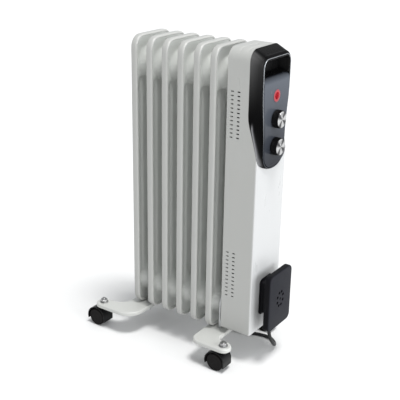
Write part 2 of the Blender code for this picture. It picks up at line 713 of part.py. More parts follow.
def make_u_bolt(side, root, mat, nut_mat, x):
    """A rod bent over the lower gallery, drawn down through the foot by two wing nuts."""
    crown = gallery_heights(FIN_BOTTOM, FIN_TOP)["low"]
    points = [(-U_BOLT_HALF, 0.036)]
    for k in range(13):
        angle = math.pi * k / 12
        points.append((-U_BOLT_HALF * math.cos(angle), crown + U_BOLT_RISE * math.sin(angle)))
    points.append((U_BOLT_HALF, 0.036))
    curve = bpy.data.curves.new("u_bolt_" + side, "CURVE")
    curve.dimensions = "3D"
    curve.bevel_depth = U_BOLT_ROD
    curve.bevel_resolution = 2
    curve.use_fill_caps = True
    spline = curve.splines.new("POLY")
    spline.points.add(len(points) - 1)
    for point, (y, z) in zip(spline.points, points):
        point.co = (0.0, y, z, 1.0)
    place("u_bolt_" + side, curve, mat, root, (x, 0, 0))
    top = FOOT_TOP - FOOT_SHEET - GAP
    for label, y in (("near", -U_BOLT_HALF), ("far", U_BOLT_HALF)):
        name = f"wing_nut_{side}_{label}"
        hub = turned(name, [(0.0055, top - 0.0075), (0.0068, top)], 16, "Z")
        nut = place(name, hub, nut_mat, root, (x, y, 0))
        wings = block("wings", (-0.0012, -0.0135, top - 0.0125), (0.0012, 0.0135, top - 0.0035))
        combine(nut, cutter("add_wings_" + name, wings, root, (x, y, 0)), "UNION")
        bore = turned("bore", [(U_BOLT_ROD + 0.0003, 0.03), (U_BOLT_ROD + 0.0003, 0.07)], 12, "Z")
        combine(nut, cutter("cut_bore_" + name, bore, root, (x, y, 0)), "DIFFERENCE")


def stem_mesh():
    """A bolt with a collar under the foot, and a washer, nut and thread end above it."""
    under = FOOT_TOP - FOOT_SHEET - GAP
    over = FOOT_TOP + GAP
    profile = [(STEM_RADIUS, 0.0250), (STEM_RADIUS, under - 0.0025), (0.0075, under - 0.0024),
               (0.0075, under), (STEM_RADIUS, under + 0.0001), (STEM_RADIUS, over),
               (0.0090, over + 0.0001), (0.0090, over + 0.0013)]
    rings = [along_z(circle(radius, 12), z) for radius, z in profile]
    rings += [along_z(hexagon(0.0130, 12), z) for z in (over + 0.0014, over + 0.0066)]
    rings += [along_z(circle(STEM_RADIUS - 0.0002, 12), z) for z in (over + 0.0067, over + 0.0092)]
    return loft("caster_stem", rings, 30)


def hood_profile(distance):
    """The hood's side view about the wheel centre, from its front foot over to its rear one."""
    radius = HOOD_RADIUS - distance
    front = HOOD_FRONT - distance
    points = [(front, -0.0075), (front, 0.012)]
    for degrees in (50, 70, 90, 112, 134, 156, 178, 198):
        angle = math.radians(degrees)
        points.append((min(radius * math.cos(angle), front), radius * math.sin(angle)))
    return points


def hood_mesh():
    outer, inner = hood_profile(0.0), hood_profile(HOOD_WALL)
    outline = outer + inner[::-1]
    outline = [(x - CASTER_TRAIL, z + WHEEL_RADIUS) for x, z in outline]
    return loft("caster_hood", [along_y(outline, y) for y in (-HOOD_HALF_Y, HOOD_HALF_Y)], 30)


def web_mesh():
    """The middle web that carries the axle and the stem socket."""
    overlap = HOOD_WALL * 0.5
    arch = hood_profile(overlap)
    outline = arch + [(-0.0100, -0.0072), (0.0, -0.0085)]
    outline = [(x - CASTER_TRAIL, z + WHEEL_RADIUS) for x, z in outline]
    return loft("caster_web", [along_y(outline, y) for y in (-WEB_HALF_Y, WEB_HALF_Y)], 30)


def wheel_mesh(sign):
    """A wheel with a rounded tread, a dished outer face and a blind bore for the axle."""
    inner, outer = WHEEL_INNER_Y, WHEEL_OUTER_Y
    bore = AXLE_RADIUS + GAP
    profile = [(bore, inner + 0.0062), (bore, inner), (0.0168, inner), (WHEEL_RADIUS, inner + 0.0014),
               (WHEEL_RADIUS, outer - 0.0022), (0.0168, outer), (0.0135, outer), (0.0125, outer - 0.0012)]
    return turned("wheel", [(r, sign * y) for r, y in profile], 16, "Y", 30)


def make_caster(label, root, x, y, mats, meshes):
    """A fixed stem; a hood that swivels on it; an axle in the hood and two wheels on it."""
    place("caster_stem_" + label, meshes["stem"], mats["steel"], root, (x, y, 0))
    swivel = empty("caster_swivel_" + label, (x, y, 0), root)
    hood = place("caster_hood_" + label, meshes["hood"], mats["plastic"], swivel)
    combine(hood, cutter("add_web_" + label, meshes["web"], swivel), "UNION")
    combine(hood, cutter("add_socket_" + label, meshes["socket"], swivel), "UNION")
    combine(hood, cutter("cut_stem_" + label, meshes["stem_bore"], swivel), "DIFFERENCE")
    hub = empty("caster_hub_" + label, (-CASTER_TRAIL, 0, WHEEL_RADIUS), swivel)
    combine(hood, cutter("cut_axle_" + label, meshes["axle_bore"], hub), "DIFFERENCE")
    place("caster_axle_" + label, meshes["axle"], mats["steel"], hub)
    for side in ("inner", "outer"):
        sign = 1 if (side == "inner") == (y < 0) else -1
        place(f"wheel_{label}_{side}", meshes[f"wheel{sign}"], mats["tyre"], hub)


def caster_meshes():
    bore = STEM_RADIUS + GAP
    socket = [(0.0066, 0.036), (0.0066, HOOD_TOP)]
    half_axle = WHEEL_INNER_Y + 0.0055
    return {
        "stem": stem_mesh(), "hood": hood_mesh(), "web": web_mesh(),
        "socket": turned("socket", socket, 16, "Z"),
        "stem_bore": turned("stem_bore", [(bore, 0.0235), (bore, 0.060)], 16, "Z"),
        "axle_bore": turned("axle_bore", [(AXLE_RADIUS + GAP, -0.02), (AXLE_RADIUS + GAP, 0.02)], 12, "Y"),
        "axle": turned("axle", [(AXLE_RADIUS, -half_axle), (AXLE_RADIUS, half_axle)], 12, "Y"),
        "wheel1": wheel_mesh(1), "wheel-1": wheel_mesh(-1),
    }


# ---------------------------------------------------------------- assembly

def main():
    clear_scene()
    paint = material("white_enamel", WHITE, 0.35)
    black = material("black_plastic", BLACK, 0.25)
    steel = material("zinc_steel", STEEL, 0.35, 1.0)
    cap_metal = material("spun_aluminium", (0.72, 0.72, 0.73), 0.28, 1.0)
    fascia_mat = material("grey_gloss_fascia", (0.10, 0.12, 0.15), 0.15)
    trim_mat = material("silver_trim", (0.45, 0.47, 0.50), 0.3, 0.6)
    lens_mat = material("red_lens", (0.55, 0.0, 0.01), 0.2)
    brown = material("phenolic_brown", (0.07, 0.04, 0.03), 0.6)
    terminal_mat = material("terminal_white", (0.7, 0.7, 0.66), 0.6)
    shield_mat = material("shield_steel", (0.6, 0.61, 0.62), 0.4, 1.0)
    rubber = material("cord_black", (0.010, 0.010, 0.010), 0.55)
    moulding = material("moulded_black", (0.012, 0.012, 0.012), 0.5)
    tyre = material("wheel_black", (0.014, 0.014, 0.015), 0.45)

    root = empty("heater", (-CENTRE_X, 0, 0))
    make_fins(root, paint)
    make_filler_plug(root, steel)
    make_heating_element(root, steel, steel)
    make_housing(root, paint)
    make_panel_shell(root, black)
    make_fascia(root, fascia_mat, trim_mat)
    control_mats = {"body": brown, "spindle": steel, "knob": black, "cap": cap_metal}
    make_control("thermostat", root, KNOB_THERMOSTAT_Z, control_mats)
    make_control("selector", root, KNOB_SELECTOR_Z, control_mats)
    make_lamp(root, lens_mat)
    make_inside(root, {"shield": shield_mat, "body": brown, "terminals": terminal_mat})
    make_cord_wrap(root, black)
    make_cord(root, {"cord": rubber, "moulding": moulding})
    meshes = caster_meshes()
    caster_mats = {"steel": steel, "plastic": black, "tyre": tyre}
    for side, gap_index in (("left", 0), ("right", FIN_COUNT - 2)):
        u_bolt_x = gap_index * PITCH + (RIM_DEPTH + PITCH) / 2
        make_foot(side, root, paint, u_bolt_x)
        make_u_bolt(side, root, steel, steel, u_bolt_x)
        for label, y in (("near", -BOLT_Y), ("far", BOLT_Y)):
            make_caster(f"{side}_{label}", root, BOLT_X[side], y, caster_mats, meshes)
    bpy.context.view_layer.update()


main()
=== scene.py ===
"""Looks of an oil filled radiator heater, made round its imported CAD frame.

Lengths are metres. Shapes are laid out in the stack frame: X runs from the outer face of fin 1
towards the control end, Y across the fins, Z up. STACK is that frame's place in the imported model.
"""

from math import atan2, copysign, cos, exp, hypot, pi, radians, sin, sqrt, tan

import bmesh
import bpy
from mathutils import Matrix, Vector


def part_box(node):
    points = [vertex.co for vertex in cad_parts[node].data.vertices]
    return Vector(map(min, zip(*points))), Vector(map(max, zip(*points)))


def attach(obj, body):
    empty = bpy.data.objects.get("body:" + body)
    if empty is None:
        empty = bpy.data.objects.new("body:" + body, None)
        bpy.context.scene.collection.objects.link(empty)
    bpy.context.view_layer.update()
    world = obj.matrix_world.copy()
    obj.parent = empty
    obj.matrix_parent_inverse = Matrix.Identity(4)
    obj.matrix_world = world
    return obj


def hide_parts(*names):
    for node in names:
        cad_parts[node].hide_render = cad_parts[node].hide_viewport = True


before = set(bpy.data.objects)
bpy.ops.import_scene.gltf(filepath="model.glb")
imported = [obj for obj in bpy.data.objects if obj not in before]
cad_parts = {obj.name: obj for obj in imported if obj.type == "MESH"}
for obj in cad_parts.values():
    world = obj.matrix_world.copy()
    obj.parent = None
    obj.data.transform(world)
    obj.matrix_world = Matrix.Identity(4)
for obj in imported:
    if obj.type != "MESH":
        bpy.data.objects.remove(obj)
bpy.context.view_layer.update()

GAP = 0.0003

# Fin stack
FIN_COUNT = 7
PITCH = 0.0365
FIN_DEPTH = 0.014
FIN_HALF = 0.058
FIN_BOTTOM = 0.054
FIN_TOP = 0.628
FIN_CORNER = 0.024
END_FIN_HALF = 0.046
END_FIN_DROP = 0.016
EDGE_ROUND = 0.0035
RIM_FALL = 0.0018
PRESSED_FROM = 0.0036
PLATEAU_DEPTH = 0.0020
RECESS_DEPTH = 0.0050
RECESS_FROM_TOP = 0.080
RECESS_FROM_BOTTOM = 0.072
RECESS_CORNER = 0.015
CHANNEL_PITCH = 0.030
CHANNEL_HALF = 0.009
CHANNEL_RISE = 0.0030
GALLERY_FROM_EDGE = 0.054
GALLERY_JOINT_Y = 0.0334
GALLERY_JOINT_Z = 0.0229
GALLERY_REACH = (PITCH - FIN_DEPTH) / 2 - GAP / 2
GALLERY_OUTER = 0.003

# Sheet steel control housing
HOUSING_REAR = 0.219
HOUSING_FRONT = 0.2865
HOUSING_HALF_Y = 0.054
HOUSING_BOTTOM = 0.066
HOUSING_TOP = 0.630
HOUSING_CORNER = 0.022
SHEET = 0.0015
VENT_COLUMNS = (0.2300, 0.2440)
VENT_ROWS = 12
VENT_HALF_X = 0.0031
VENT_HALF_Z = 0.00125
VENT_UPPER = (0.552, 0.0078)
VENT_LOWER = (0.235, 0.0084)

# Control panel
PANEL_REAR = 0.265
PANEL_FRONT = 0.289
PANEL_FRONT_TOP = 0.615
FASCIA_THICK = 0.002
FASCIA_CURL = 0.012
FASCIA_FRONT = PANEL_FRONT + GAP + FASCIA_THICK
GRIP_LIP = 0.580
GRIP_TOP = 0.609
GRIP_HALF = 0.0445
GRIP_DEPTH = 0.021
LAMP_Z = 0.5425
KNOBS = {"thermostat": 0.500, "selector": 0.448}
KNOB_RADIUS = 0.017
KNOB_FRONT = 0.3050

# Cord plate
WRAP_FRONT = 0.322
WRAP_PLATE_BACK = 0.3088
WRAP_HALF_Y = 0.043
WRAP_BOTTOM = 0.081
WRAP_TOP = 0.198
WRAP_MIDDLE = (WRAP_TOP + WRAP_BOTTOM) / 2
NECK_HALF_Z = 0.035

# Feet and casters
FOOT_TOP = FIN_BOTTOM - GAP
FOOT_SHEET = 0.0018
FOOT_DEPTH = 0.0078
FOOT_BAR = {"left": (-0.012, 0.035), "right": (0.181, 0.228)}
FOOT_SWEEP = {"left": (0.038, 0.030), "right": (0.021, 0.012)}
BOLT_X = {"left": -0.054, "right": 0.252}
BOLT_Y = 0.094
ARM_HALF = 0.016
ARM_CORNER = 0.0158
U_BOLT_X = {"left": 0.02525, "right": 0.20775}
U_BOLT_HALF = 0.0385
U_BOLT_RISE = 0.0275
U_BOLT_ROD = 0.003
CASTER_TRAIL = 0.011
WHEEL_RADIUS = 0.0185
WHEEL_INNER_Y = 0.0062
WHEEL_OUTER_Y = 0.0147
HOOD_RADIUS = 0.0238
HOOD_WALL = 0.0021
HOOD_FRONT = 0.0213
HOOD_HALF_Y = 0.0150
HOOD_TOP = 0.0450
WEB_HALF_Y = 0.0058
STEM_RADIUS = 0.004
AXLE_RADIUS = 0.0025

# Mains cord
CORD_DIAMETER = 0.007
COIL_CENTRE = (0.112, 0.112)
COIL_MEAN_RADIUS = 0.0385
COIL_TOP = 0.0224
PLUG_TAIL_Y = 0.012
CORD_ROUTE = [
    (0.3000, 0.0000, 0.0807), (0.3000, 0.0003, 0.0640), (0.3008, 0.0030, 0.0480),
    (0.3018, 0.0098, 0.0335), (0.3010, 0.0215, 0.0195), (0.2960, 0.0360, 0.0090),
    (0.2860, 0.0510, 0.0045), (0.2700, 0.0610, 0.0037), (0.2480, 0.0600, 0.0037),
    (0.2240, 0.0520, 0.0037), (0.2000, 0.0460, 0.0037), (0.1770, 0.0500, 0.0037),
    (0.1635, 0.0625, 0.0037), (0.1590, 0.0800, 0.0037), (0.1581, 0.0950, 0.0037),
]

STACK = Vector((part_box("control_housing")[0].x - HOUSING_REAR, 0.0, 0.0))


# ---- outlines

def smooth_step(value):
    value = min(max(value, 0.0), 1.0)
    return value * value * (3 - 2 * value)


def between(table, at):
    """Reads a table of (position, value) pairs, in straight lines between its entries."""
    if at <= table[0][0]:
        return table[0][1]
    for (a, low), (b, high) in zip(table, table[1:]):
        if at <= b:
            return low + (high - low) * (at - a) / (b - a)
    return table[-1][1]


def quarter(steps):
    """The cosine and sine at even steps over a quarter turn, both ends included."""
    angles = [pi / 2 * k / steps for k in range(steps + 1)]
    return [(cos(a), sin(a)) for a in angles]


def circle(radius, count):
    steps = [2 * pi * i / count for i in range(count)]
    return [(radius * cos(a), radius * sin(a)) for a in steps]


def hexagon(across_flats, count):
    points = []
    for u, v in circle(1.0, count):
        angle = (atan2(v, u) % (pi / 3)) - pi / 6
        reach = across_flats / 2 / cos(angle)
        points.append((reach * u, reach * v))
    return points


def round_corners(corners, steps):
    """Replaces each corner (u, v, radius) of a polygon by an arc of steps + 1 points."""
    points = []
    for i, (u, v, radius) in enumerate(corners):
        here = Vector((u, v))
        before = (Vector(corners[i - 1][:2]) - here).normalized()
        after = (Vector(corners[(i + 1) % len(corners)][:2]) - here).normalized()
        half = before.angle(after) / 2
        reach = radius / tan(half)
        centre = here + (before + after).normalized() * (radius / sin(half))
        start = here + before * reach - centre
        sweep = start.angle_signed(here + after * reach - centre)
        for k in range(steps + 1):
            points.append(tuple(centre + Matrix.Rotation(-sweep * k / steps, 2) @ start))
    return points


def rounded_box(half_u, v_low, v_high, radius, steps=6):
    corners = [(half_u, v_low), (half_u, v_high), (-half_u, v_high), (-half_u, v_low)]
    return round_corners([(u, v, radius) for u, v in corners], steps)


def inset(points, distance):
    """Moves every point of a counter-clockwise outline inwards by the distance."""
    moved_points = []
    for i, (u, v) in enumerate(points):
        here = Vector((u, v))
        before = (here - Vector(points[i - 1])).normalized()
        after = (Vector(points[(i + 1) % len(points)]) - here).normalized()
        normal = Vector((-(before.y + after.y), before.x + after.x))
        cosine = max(0.3, sqrt(max(0.0, (1 + before.dot(after)) / 2)))
        moved_points.append(tuple(here + normal.normalized() * (distance / cosine)))
    return moved_points


def along_x(outline, x):
    return [(x, u, v) for u, v in outline]


def along_y(outline, y):
    return [(u, y, v) for u, v in outline]


def along_z(outline, z):
    return [(u, v, z) for u, v in outline]


# ---- meshes

def finish_mesh(bm, name, smooth_angle=35):
    bmesh.ops.recalc_face_normals(bm, faces=bm.faces)
    mesh = bpy.data.meshes.new(name)
    bm.to_mesh(mesh)
    bm.free()
    mesh.shade_smooth()
    mesh.set_sharp_from_angle(angle=radians(smooth_angle))
    return mesh


def bridge(bm, first, second):
    for i in range(len(first)):
        k = (i + 1) % len(first)
        bm.faces.new((first[i], first[k], second[k], second[i]))


def loft(name, rings, smooth_angle=35, hoop=False):
    """A solid through rings with equal point counts: capped at both ends, or a hoop that meets itself."""
    bm = bmesh.new()
    loops = [[bm.verts.new(point) for point in ring] for ring in rings]
    for here, there in zip(loops, loops[1:]):
        bridge(bm, here, there)
    if hoop:
        bridge(bm, loops[-1], loops[0])
    else:
        bm.faces.new(loops[0][::-1])
        bm.faces.new(loops[-1])
    return finish_mesh(bm, name, smooth_angle)


def slab(outline, half):
    """A solid with one outline in the XZ plane, reaching equally far to both sides."""
    return loft("slab", [along_y(outline, y) for y in (-half, half)])


def turned(name, profile, count, axis, smooth_angle=35):
    """A solid turned about an axis, from (radius, height) pairs; the ends are capped."""
    place_ring = {"X": along_x, "Y": along_y, "Z": along_z}[axis]
    return loft(name, [place_ring(circle(radius, count), height) for radius, height in profile], smooth_angle)


def moved(mesh, offset):
    copy = mesh.copy()
    copy.transform(Matrix.Translation(Vector(offset)))
    return copy


def drill(radius, low, high, axis, at=(0, 0, 0), count=32):
    """A round tool that reaches from low to high on its axis."""
    return moved(turned("drill", [(radius, low), (radius, high)], count, axis), at)


def merged(name, meshes, smooth_angle=35):
    """Several closed shells in one mesh."""
    bm = bmesh.new()
    for mesh in meshes:
        bm.from_mesh(mesh)
    return finish_mesh(bm, name, smooth_angle)


def new_object(name, data):
    thing = bpy.data.objects.new(name, data)
    bpy.context.scene.collection.objects.link(thing)
    return thing


def carved(mesh, cuts, smooth_angle=35, joins=()):
    """The mesh after Booleans that join some solids on and then cut others out."""
    target = new_object("carving", mesh)
    tools = []
    for operation, solids in (("UNION", joins), ("DIFFERENCE", cuts)):
        for solid in solids:
            tool = new_object("tool", solid)
            tools.append(tool)
            modifier = target.modifiers.new(operation, "BOOLEAN")
            modifier.operation = operation
            modifier.object = tool
            modifier.solver = "EXACT"
    bpy.context.view_layer.update()
    depsgraph = bpy.context.evaluated_depsgraph_get()
    result = bpy.data.meshes.new_from_object(target.evaluated_get(depsgraph))
    for thing in [target, *tools]:
        bpy.data.objects.remove(thing)
    result.name = mesh.name
    result.materials.clear()
    result.shade_smooth()
    result.set_sharp_from_angle(angle=radians(smooth_angle))
    return result


def piece(name, mesh, look, *replaces, body="heater", at=(0, 0, 0), rotation=0.0):
    """Places a piece in the stack frame, where it rides on a body and stands for CAD nodes."""
    slot, material = LOOKS[look]
    thing = new_object(name, mesh)
    thing.location = STACK + Vector(at)
    thing.rotation_euler = (0.0, 0.0, rotation)
    if not mesh.materials:
        mesh.materials.append(material)
    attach(thing, body)
    if replaces:
        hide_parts(*replaces)
    return thing


# ---- materials

class Look:
    """A material and the nodes that vary it. A value is a number, a colour or a socket."""

    def __init__(self, name, colour, roughness, metallic=0.0, **constants):
        self.material = bpy.data.materials.new(name)
        self.material.use_nodes = True
        self.shader = self.material.node_tree.nodes["Principled BSDF"]
        self.feed("Base Color", colour)
        self.feed("Roughness", roughness)
        self.feed("Metallic", metallic)
        for key, value in constants.items():
            self.feed(key.replace("_", " "), value)
        self.place = self.add("ShaderNodeTexCoord").outputs["Object"]

    def connect(self, socket, value):
        if isinstance(value, bpy.types.NodeSocket):
            self.material.node_tree.links.new(value, socket)
        else:
            socket.default_value = (*value, 1.0) if socket.type == "RGBA" else value

    def add(self, kind, inputs=(), **settings):
        made = self.material.node_tree.nodes.new(kind)
        for key, value in settings.items():
            setattr(made, key, value)
        for key, value in dict(inputs).items():
            self.connect(made.inputs[key], value)
        return made

    def feed(self, name, value):
        self.connect(self.shader.inputs[name], value)

    def axis(self, letter):
        return self.add("ShaderNodeSeparateXYZ", {"Vector": self.place}).outputs[letter]

    def attribute(self, name):
        return self.add("ShaderNodeAttribute", attribute_name=name).outputs["Fac"]

    def noise(self, scale, detail=2.0, roughness=0.5, stretch=None):
        place = self.place
        if stretch:
            place = self.add("ShaderNodeMapping", {"Vector": place, "Scale": stretch}).outputs["Vector"]
        inputs = {"Vector": place, "Scale": scale, "Detail": detail, "Roughness": roughness}
        return self.add("ShaderNodeTexNoise", inputs).outputs["Fac"]

    def ranged(self, value, low, high, out_low=0.0, out_high=1.0):
        inputs = {"Value": value, "From Min": low, "From Max": high, "To Min": out_low, "To Max": out_high}
        return self.add("ShaderNodeMapRange", inputs).outputs["Result"]

    def calc(self, operation, a, b=0.0):
        return self.add("ShaderNodeMath", {0: a, 1: b}, operation=operation).outputs[0]

    def mix(self, share, first, second):
        return self.add("ShaderNodeMix", {0: share, 6: first, 7: second}, data_type="RGBA").outputs[2]

    def layer(self, share, colour):
        """Lays a colour over what the base colour is so far."""
        under = self.shader.inputs["Base Color"].links[0].from_socket
        self.feed("Base Color", self.mix(share, under, colour))

    def off_axis(self):
        """The distance from the piece's own X axis."""
        squares = [self.calc("MULTIPLY", way, way) for way in (self.axis("Y"), self.axis("Z"))]
        return self.calc("POWER", self.calc("ADD", *squares), 0.5)

    def bump(self, height, distance, strength=1.0):
        inputs = {"Height": height, "Distance": distance, "Strength": strength}
        self.feed("Normal", self.add("ShaderNodeBump", inputs).outputs["Normal"])


def enamel_look(name, colour, warm, soiling, peel_strength, pressed=None):
    """Baked white enamel: orange peel, uneven gloss, a warm tone in patches; the pressed-in faces are painted
    lighter, as painted fill light against the shade between fins.
    """
    look = Look(name, colour, 0.33, Coat_Weight=0.12, Coat_Roughness=0.2)
    grime = look.noise(38.0, 4.0, 0.6, (1.0, 1.0, 0.35))
    look.feed("Base Color", look.mix(look.ranged(look.noise(7.0, 3.0), 0.35, 0.7), colour, warm))
    # painted fill light: the pressed faces between the fins get a lighter colour to lift their shade
    if pressed:
        look.layer(look.attribute("pressed"), pressed)
    look.layer(look.ranged(grime, 0.55, 0.85, 0.0, soiling), tuple(c * 0.93 for c in warm))
    look.feed("Roughness", look.ranged(grime, 0.3, 0.8, 0.27, 0.42))
    waves = look.calc("MULTIPLY", look.noise(95.0, 1.0), 2.0)
    look.bump(look.calc("ADD", look.noise(420.0, 2.0, 0.45), waves), 0.00005, peel_strength)
    return look


def housing_look():
    """The housing's powder coat, with its front face painted brighter as painted light, on the face the end
    light falls on.
    """
    look = enamel_look("housing_enamel", (0.448, 0.452, 0.436), (0.441, 0.445, 0.427), 0.05, 0.06)
    # painted light: the front face gets a brighter, bluer colour than the sides
    front = look.ranged(look.axis("X"), HOUSING_FRONT - 0.0030, HOUSING_FRONT - 0.0006)
    look.layer(front, (0.496, 0.501, 0.503))
    return look


def end_fin_look():
    """The last fin: white where it faces the stack; inside the housing a dark primer, dark enough to stand as
    painted shade behind the vent slots.
    """
    # near-black base: dark primer that also serves as painted shade for what shows through the vent slots
    look = mottled_look("end_fin_paint", (0.035, 0.035, 0.036), (0.050, 0.050, 0.050), 0.55)
    look.layer(look.ranged(look.axis("X"), 0.0055, 0.0075, 1.0, 0.0), (0.520, 0.526, 0.506))
    return look


def plastic_look(name, colour, roughness, grain, depth, worn=(0.03, 0.03, 0.032), specular=0.5):
    """Moulded plastic: spark-eroded grain, uneven gloss and light handling marks."""
    look = Look(name, colour, roughness, Specular_IOR_Level=specular)
    patches = look.noise(26.0, 4.0, 0.6)
    marks = look.noise(140.0, 3.0, 0.7, (1.0, 1.0, 6.0))
    look.feed("Base Color", look.mix(look.ranged(patches, 0.5, 0.8, 0.0, 0.35), colour, worn))
    gloss = look.ranged(patches, 0.3, 0.7, roughness - 0.05, roughness + 0.06)
    look.feed("Roughness", look.calc("ADD", gloss, look.ranged(marks, 0.55, 0.75, 0.0, 0.05)))
    look.bump(look.noise(grain, 2.0, 0.6), depth, 0.6)
    return look


def plate_look():
    """The cord plate's black, lighter on its front face than on its sides and neck."""
    look = plastic_look("plate_black", (0.007, 0.007, 0.0085), 0.42, 1100.0, 0.00004,
                        (0.010, 0.010, 0.012), 0.045)
    # the front face is given a lighter grey than the sides and neck
    front = look.ranged(look.axis("X"), WRAP_FRONT - 0.0020, WRAP_FRONT - 0.0004)
    look.layer(front, (0.0172, 0.0178, 0.0222))
    return look


def shell_look():
    """Satin black of the panel shell, with a painted grey reflection where the moulding turns at the top and
    a painted glint along the swept crease.
    """
    look = Look("shell_black", (0.006, 0.006, 0.0065), 0.24, Specular_IOR_Level=0.035)
    # painted reflection: a grey sheen painted high on the sides, stronger towards the rear
    high = look.ranged(look.axis("Z"), 0.500, 0.606)
    side = look.ranged(look.calc("ABSOLUTE", look.axis("Y")), 0.040, 0.051, 0.06, 1.0)
    rear = look.ranged(look.axis("X"), PANEL_FRONT, PANEL_REAR, 0.15, 1.0)
    painted_reflection = look.calc("MULTIPLY", look.calc("MULTIPLY", high, high), look.calc("MULTIPLY", rear, side))
    look.feed("Base Color", look.mix(painted_reflection, (0.0018, 0.0018, 0.002), (0.105, 0.104, 0.104)))
    look.layer(look.attribute("glint"), (0.24, 0.24, 0.25))
    look.feed("Roughness", look.ranged(look.noise(60.0, 3.0, 0.6, (9.0, 9.0, 0.6)), 0.3, 0.7, 0.20, 0.32))
    look.bump(look.noise(1300.0), 0.00001, 0.5)
    return look


def fascia_look():
    """Blue-grey lacquer, lighter towards the recess, with painted shade on its lip where it curls back into
    the recess, and fine flake in it.
    """
    look = Look("fascia_lacquer", (0.10, 0.12, 0.15), 0.22, Specular_IOR_Level=0.10, Coat_Weight=0.03,
                Coat_Roughness=0.08)
    height = look.axis("Z")
    rising = look.ranged(height, 0.405, 0.572)
    look.feed("Base Color", look.mix(rising, (0.009, 0.0105, 0.015), (0.082, 0.092, 0.111)))
    # painted shade: the lip darkens as it curls back into the finger recess
    painted_lip_shade = look.ranged(height, GRIP_LIP - 0.014, GRIP_LIP)
    look.layer(look.calc("POWER", painted_lip_shade, 1.5), (0.004, 0.0045, 0.006))
    look.layer(look.ranged(look.noise(2400.0, 1.0), 0.55, 0.75, 0.0, 0.05), (0.20, 0.22, 0.26))
    look.feed("Roughness", look.ranged(look.noise(30.0, 3.0), 0.3, 0.7, 0.17, 0.28))
    look.bump(look.noise(700.0), 0.000012, 0.4)
    return look


def spun_look():
    """A turned aluminium face: fine rings, and a fan of glints painted into its colour round the axis."""
    look = Look("spun_aluminium", (0.80, 0.80, 0.81), 0.24, 1.0, Anisotropic=0.85)
    # painted highlight: bright and dark lobes painted into the base colour by angle round the axis
    angle = look.calc("ARCTAN2", look.axis("Z"), look.axis("Y"))
    painted_glint_fan = look.calc("SINE", look.calc("ADD", look.calc("MULTIPLY", angle, 4.0), 0.9))
    painted_highlight = look.ranged(painted_glint_fan, -0.85, 0.55)
    look.feed("Base Color", look.mix(painted_highlight, (0.050, 0.050, 0.052), (0.62, 0.62, 0.62)))
    look.feed("Roughness", look.ranged(look.noise(900.0), 0.3, 0.7, 0.20, 0.30))
    tangent = look.add("ShaderNodeTangent", direction_type="RADIAL", axis="X")
    look.feed("Tangent", tangent.outputs["Tangent"])
    look.bump(look.calc("SINE", look.calc("MULTIPLY", look.off_axis(), 21000.0)), 0.000006, 0.5)
    return look


def metal_look(name, colour, roughness, grain=(1.0, 1.0, 12.0), scale=160.0):
    """Plated or drawn metal with grain along one way and dull patches."""
    look = Look(name, colour, roughness, 1.0)
    drawn = look.noise(scale, 3.0, 0.6, grain)
    dull = look.ranged(look.noise(70.0, 4.0, 0.65), 0.45, 0.75, 0.0, 0.7)
    look.feed("Base Color", look.mix(dull, colour, tuple(c * 0.72 for c in colour)))
    look.feed("Roughness", look.ranged(drawn, 0.3, 0.7, roughness - 0.08, roughness + 0.12))
    look.bump(drawn, 0.00002, 0.5)
    return look


def trim_look():
    """Silver foil line, rubbed in patches, with a painted highlight at the top that fades to grey down the
    sides.
    """
    look = Look("silver_trim", (0.70, 0.72, 0.75), 0.28, 0.9)
    height = look.axis("Z")
    rubbed = look.noise(260.0, 3.0, 0.6)
    # painted highlight: brighter near the top, greyer lower down
    painted_highlight = look.calc("ADD", look.ranged(height, 0.455, 0.512, 0.06, 0.42),
                       look.ranged(height, 0.580, 0.605, 0.0, 0.30))
    share = look.calc("MULTIPLY", painted_highlight, look.ranged(rubbed, 0.3, 0.6, 0.8, 1.0))
    look.feed("Base Color", look.mix(share, (0.040, 0.045, 0.055), (0.62, 0.64, 0.67)))
    look.feed("Roughness", look.ranged(rubbed, 0.3, 0.7, 0.22, 0.38))
    return look


def lens_look(name, deep, pale, glow):
    """Red lamp plastic, paler where the light pools in it."""
    look = Look(name, deep, 0.16, Emission_Strength=glow, Specular_IOR_Level=0.08)
    pooled = look.noise(330.0)
    tone = look.mix(look.ranged(pooled, 0.3, 0.7), deep, pale)
    look.feed("Base Color", tone)
    look.feed("Emission Color", tone)
    look.feed("Roughness", look.ranged(pooled, 0.3, 0.7, 0.12, 0.24))
    look.bump(look.noise(1500.0, 1.0), 0.00002, 0.3)
    return look


def halo_look():
    """The ring round the lamp: red by the lens, fading into the fascia's grey."""
    look = Look("lamp_ring", (0.40, 0.03, 0.04), 0.35, Specular_IOR_Level=0.15)
    speckle = look.noise(900.0)
    reach = look.calc("ADD", look.off_axis(), look.ranged(speckle, 0.3, 0.7, -0.0005, 0.0005))
    fade = look.ranged(reach, 0.0090, 0.0118)
    look.feed("Base Color", look.mix(fade, (0.44, 0.052, 0.062), (0.120, 0.070, 0.085)))
    look.feed("Roughness", look.ranged(speckle, 0.3, 0.7, 0.30, 0.42))
    return look


def mottled_look(name, colour, other, roughness):
    """Thermoset mouldings: two tones mixed in, and a matt skin."""
    look = Look(name, colour, roughness)
    mixed = look.noise(240.0, 5.0, 0.7)
    look.feed("Base Color", look.mix(look.ranged(mixed, 0.4, 0.65), colour, other))
    look.feed("Roughness", look.ranged(mixed, 0.3, 0.7, roughness - 0.1, roughness + 0.1))
    look.bump(look.noise(900.0), 0.00003, 0.5)
    return look


def floor_look():
    look = Look("studio_floor", (0.75, 0.75, 0.75), 0.9, Specular_IOR_Level=0.0)
    tone = look.ranged(look.noise(3.0), 0.3, 0.7)
    look.feed("Base Color", look.mix(tone, (0.745, 0.745, 0.745), (0.755, 0.755, 0.755)))
    return look


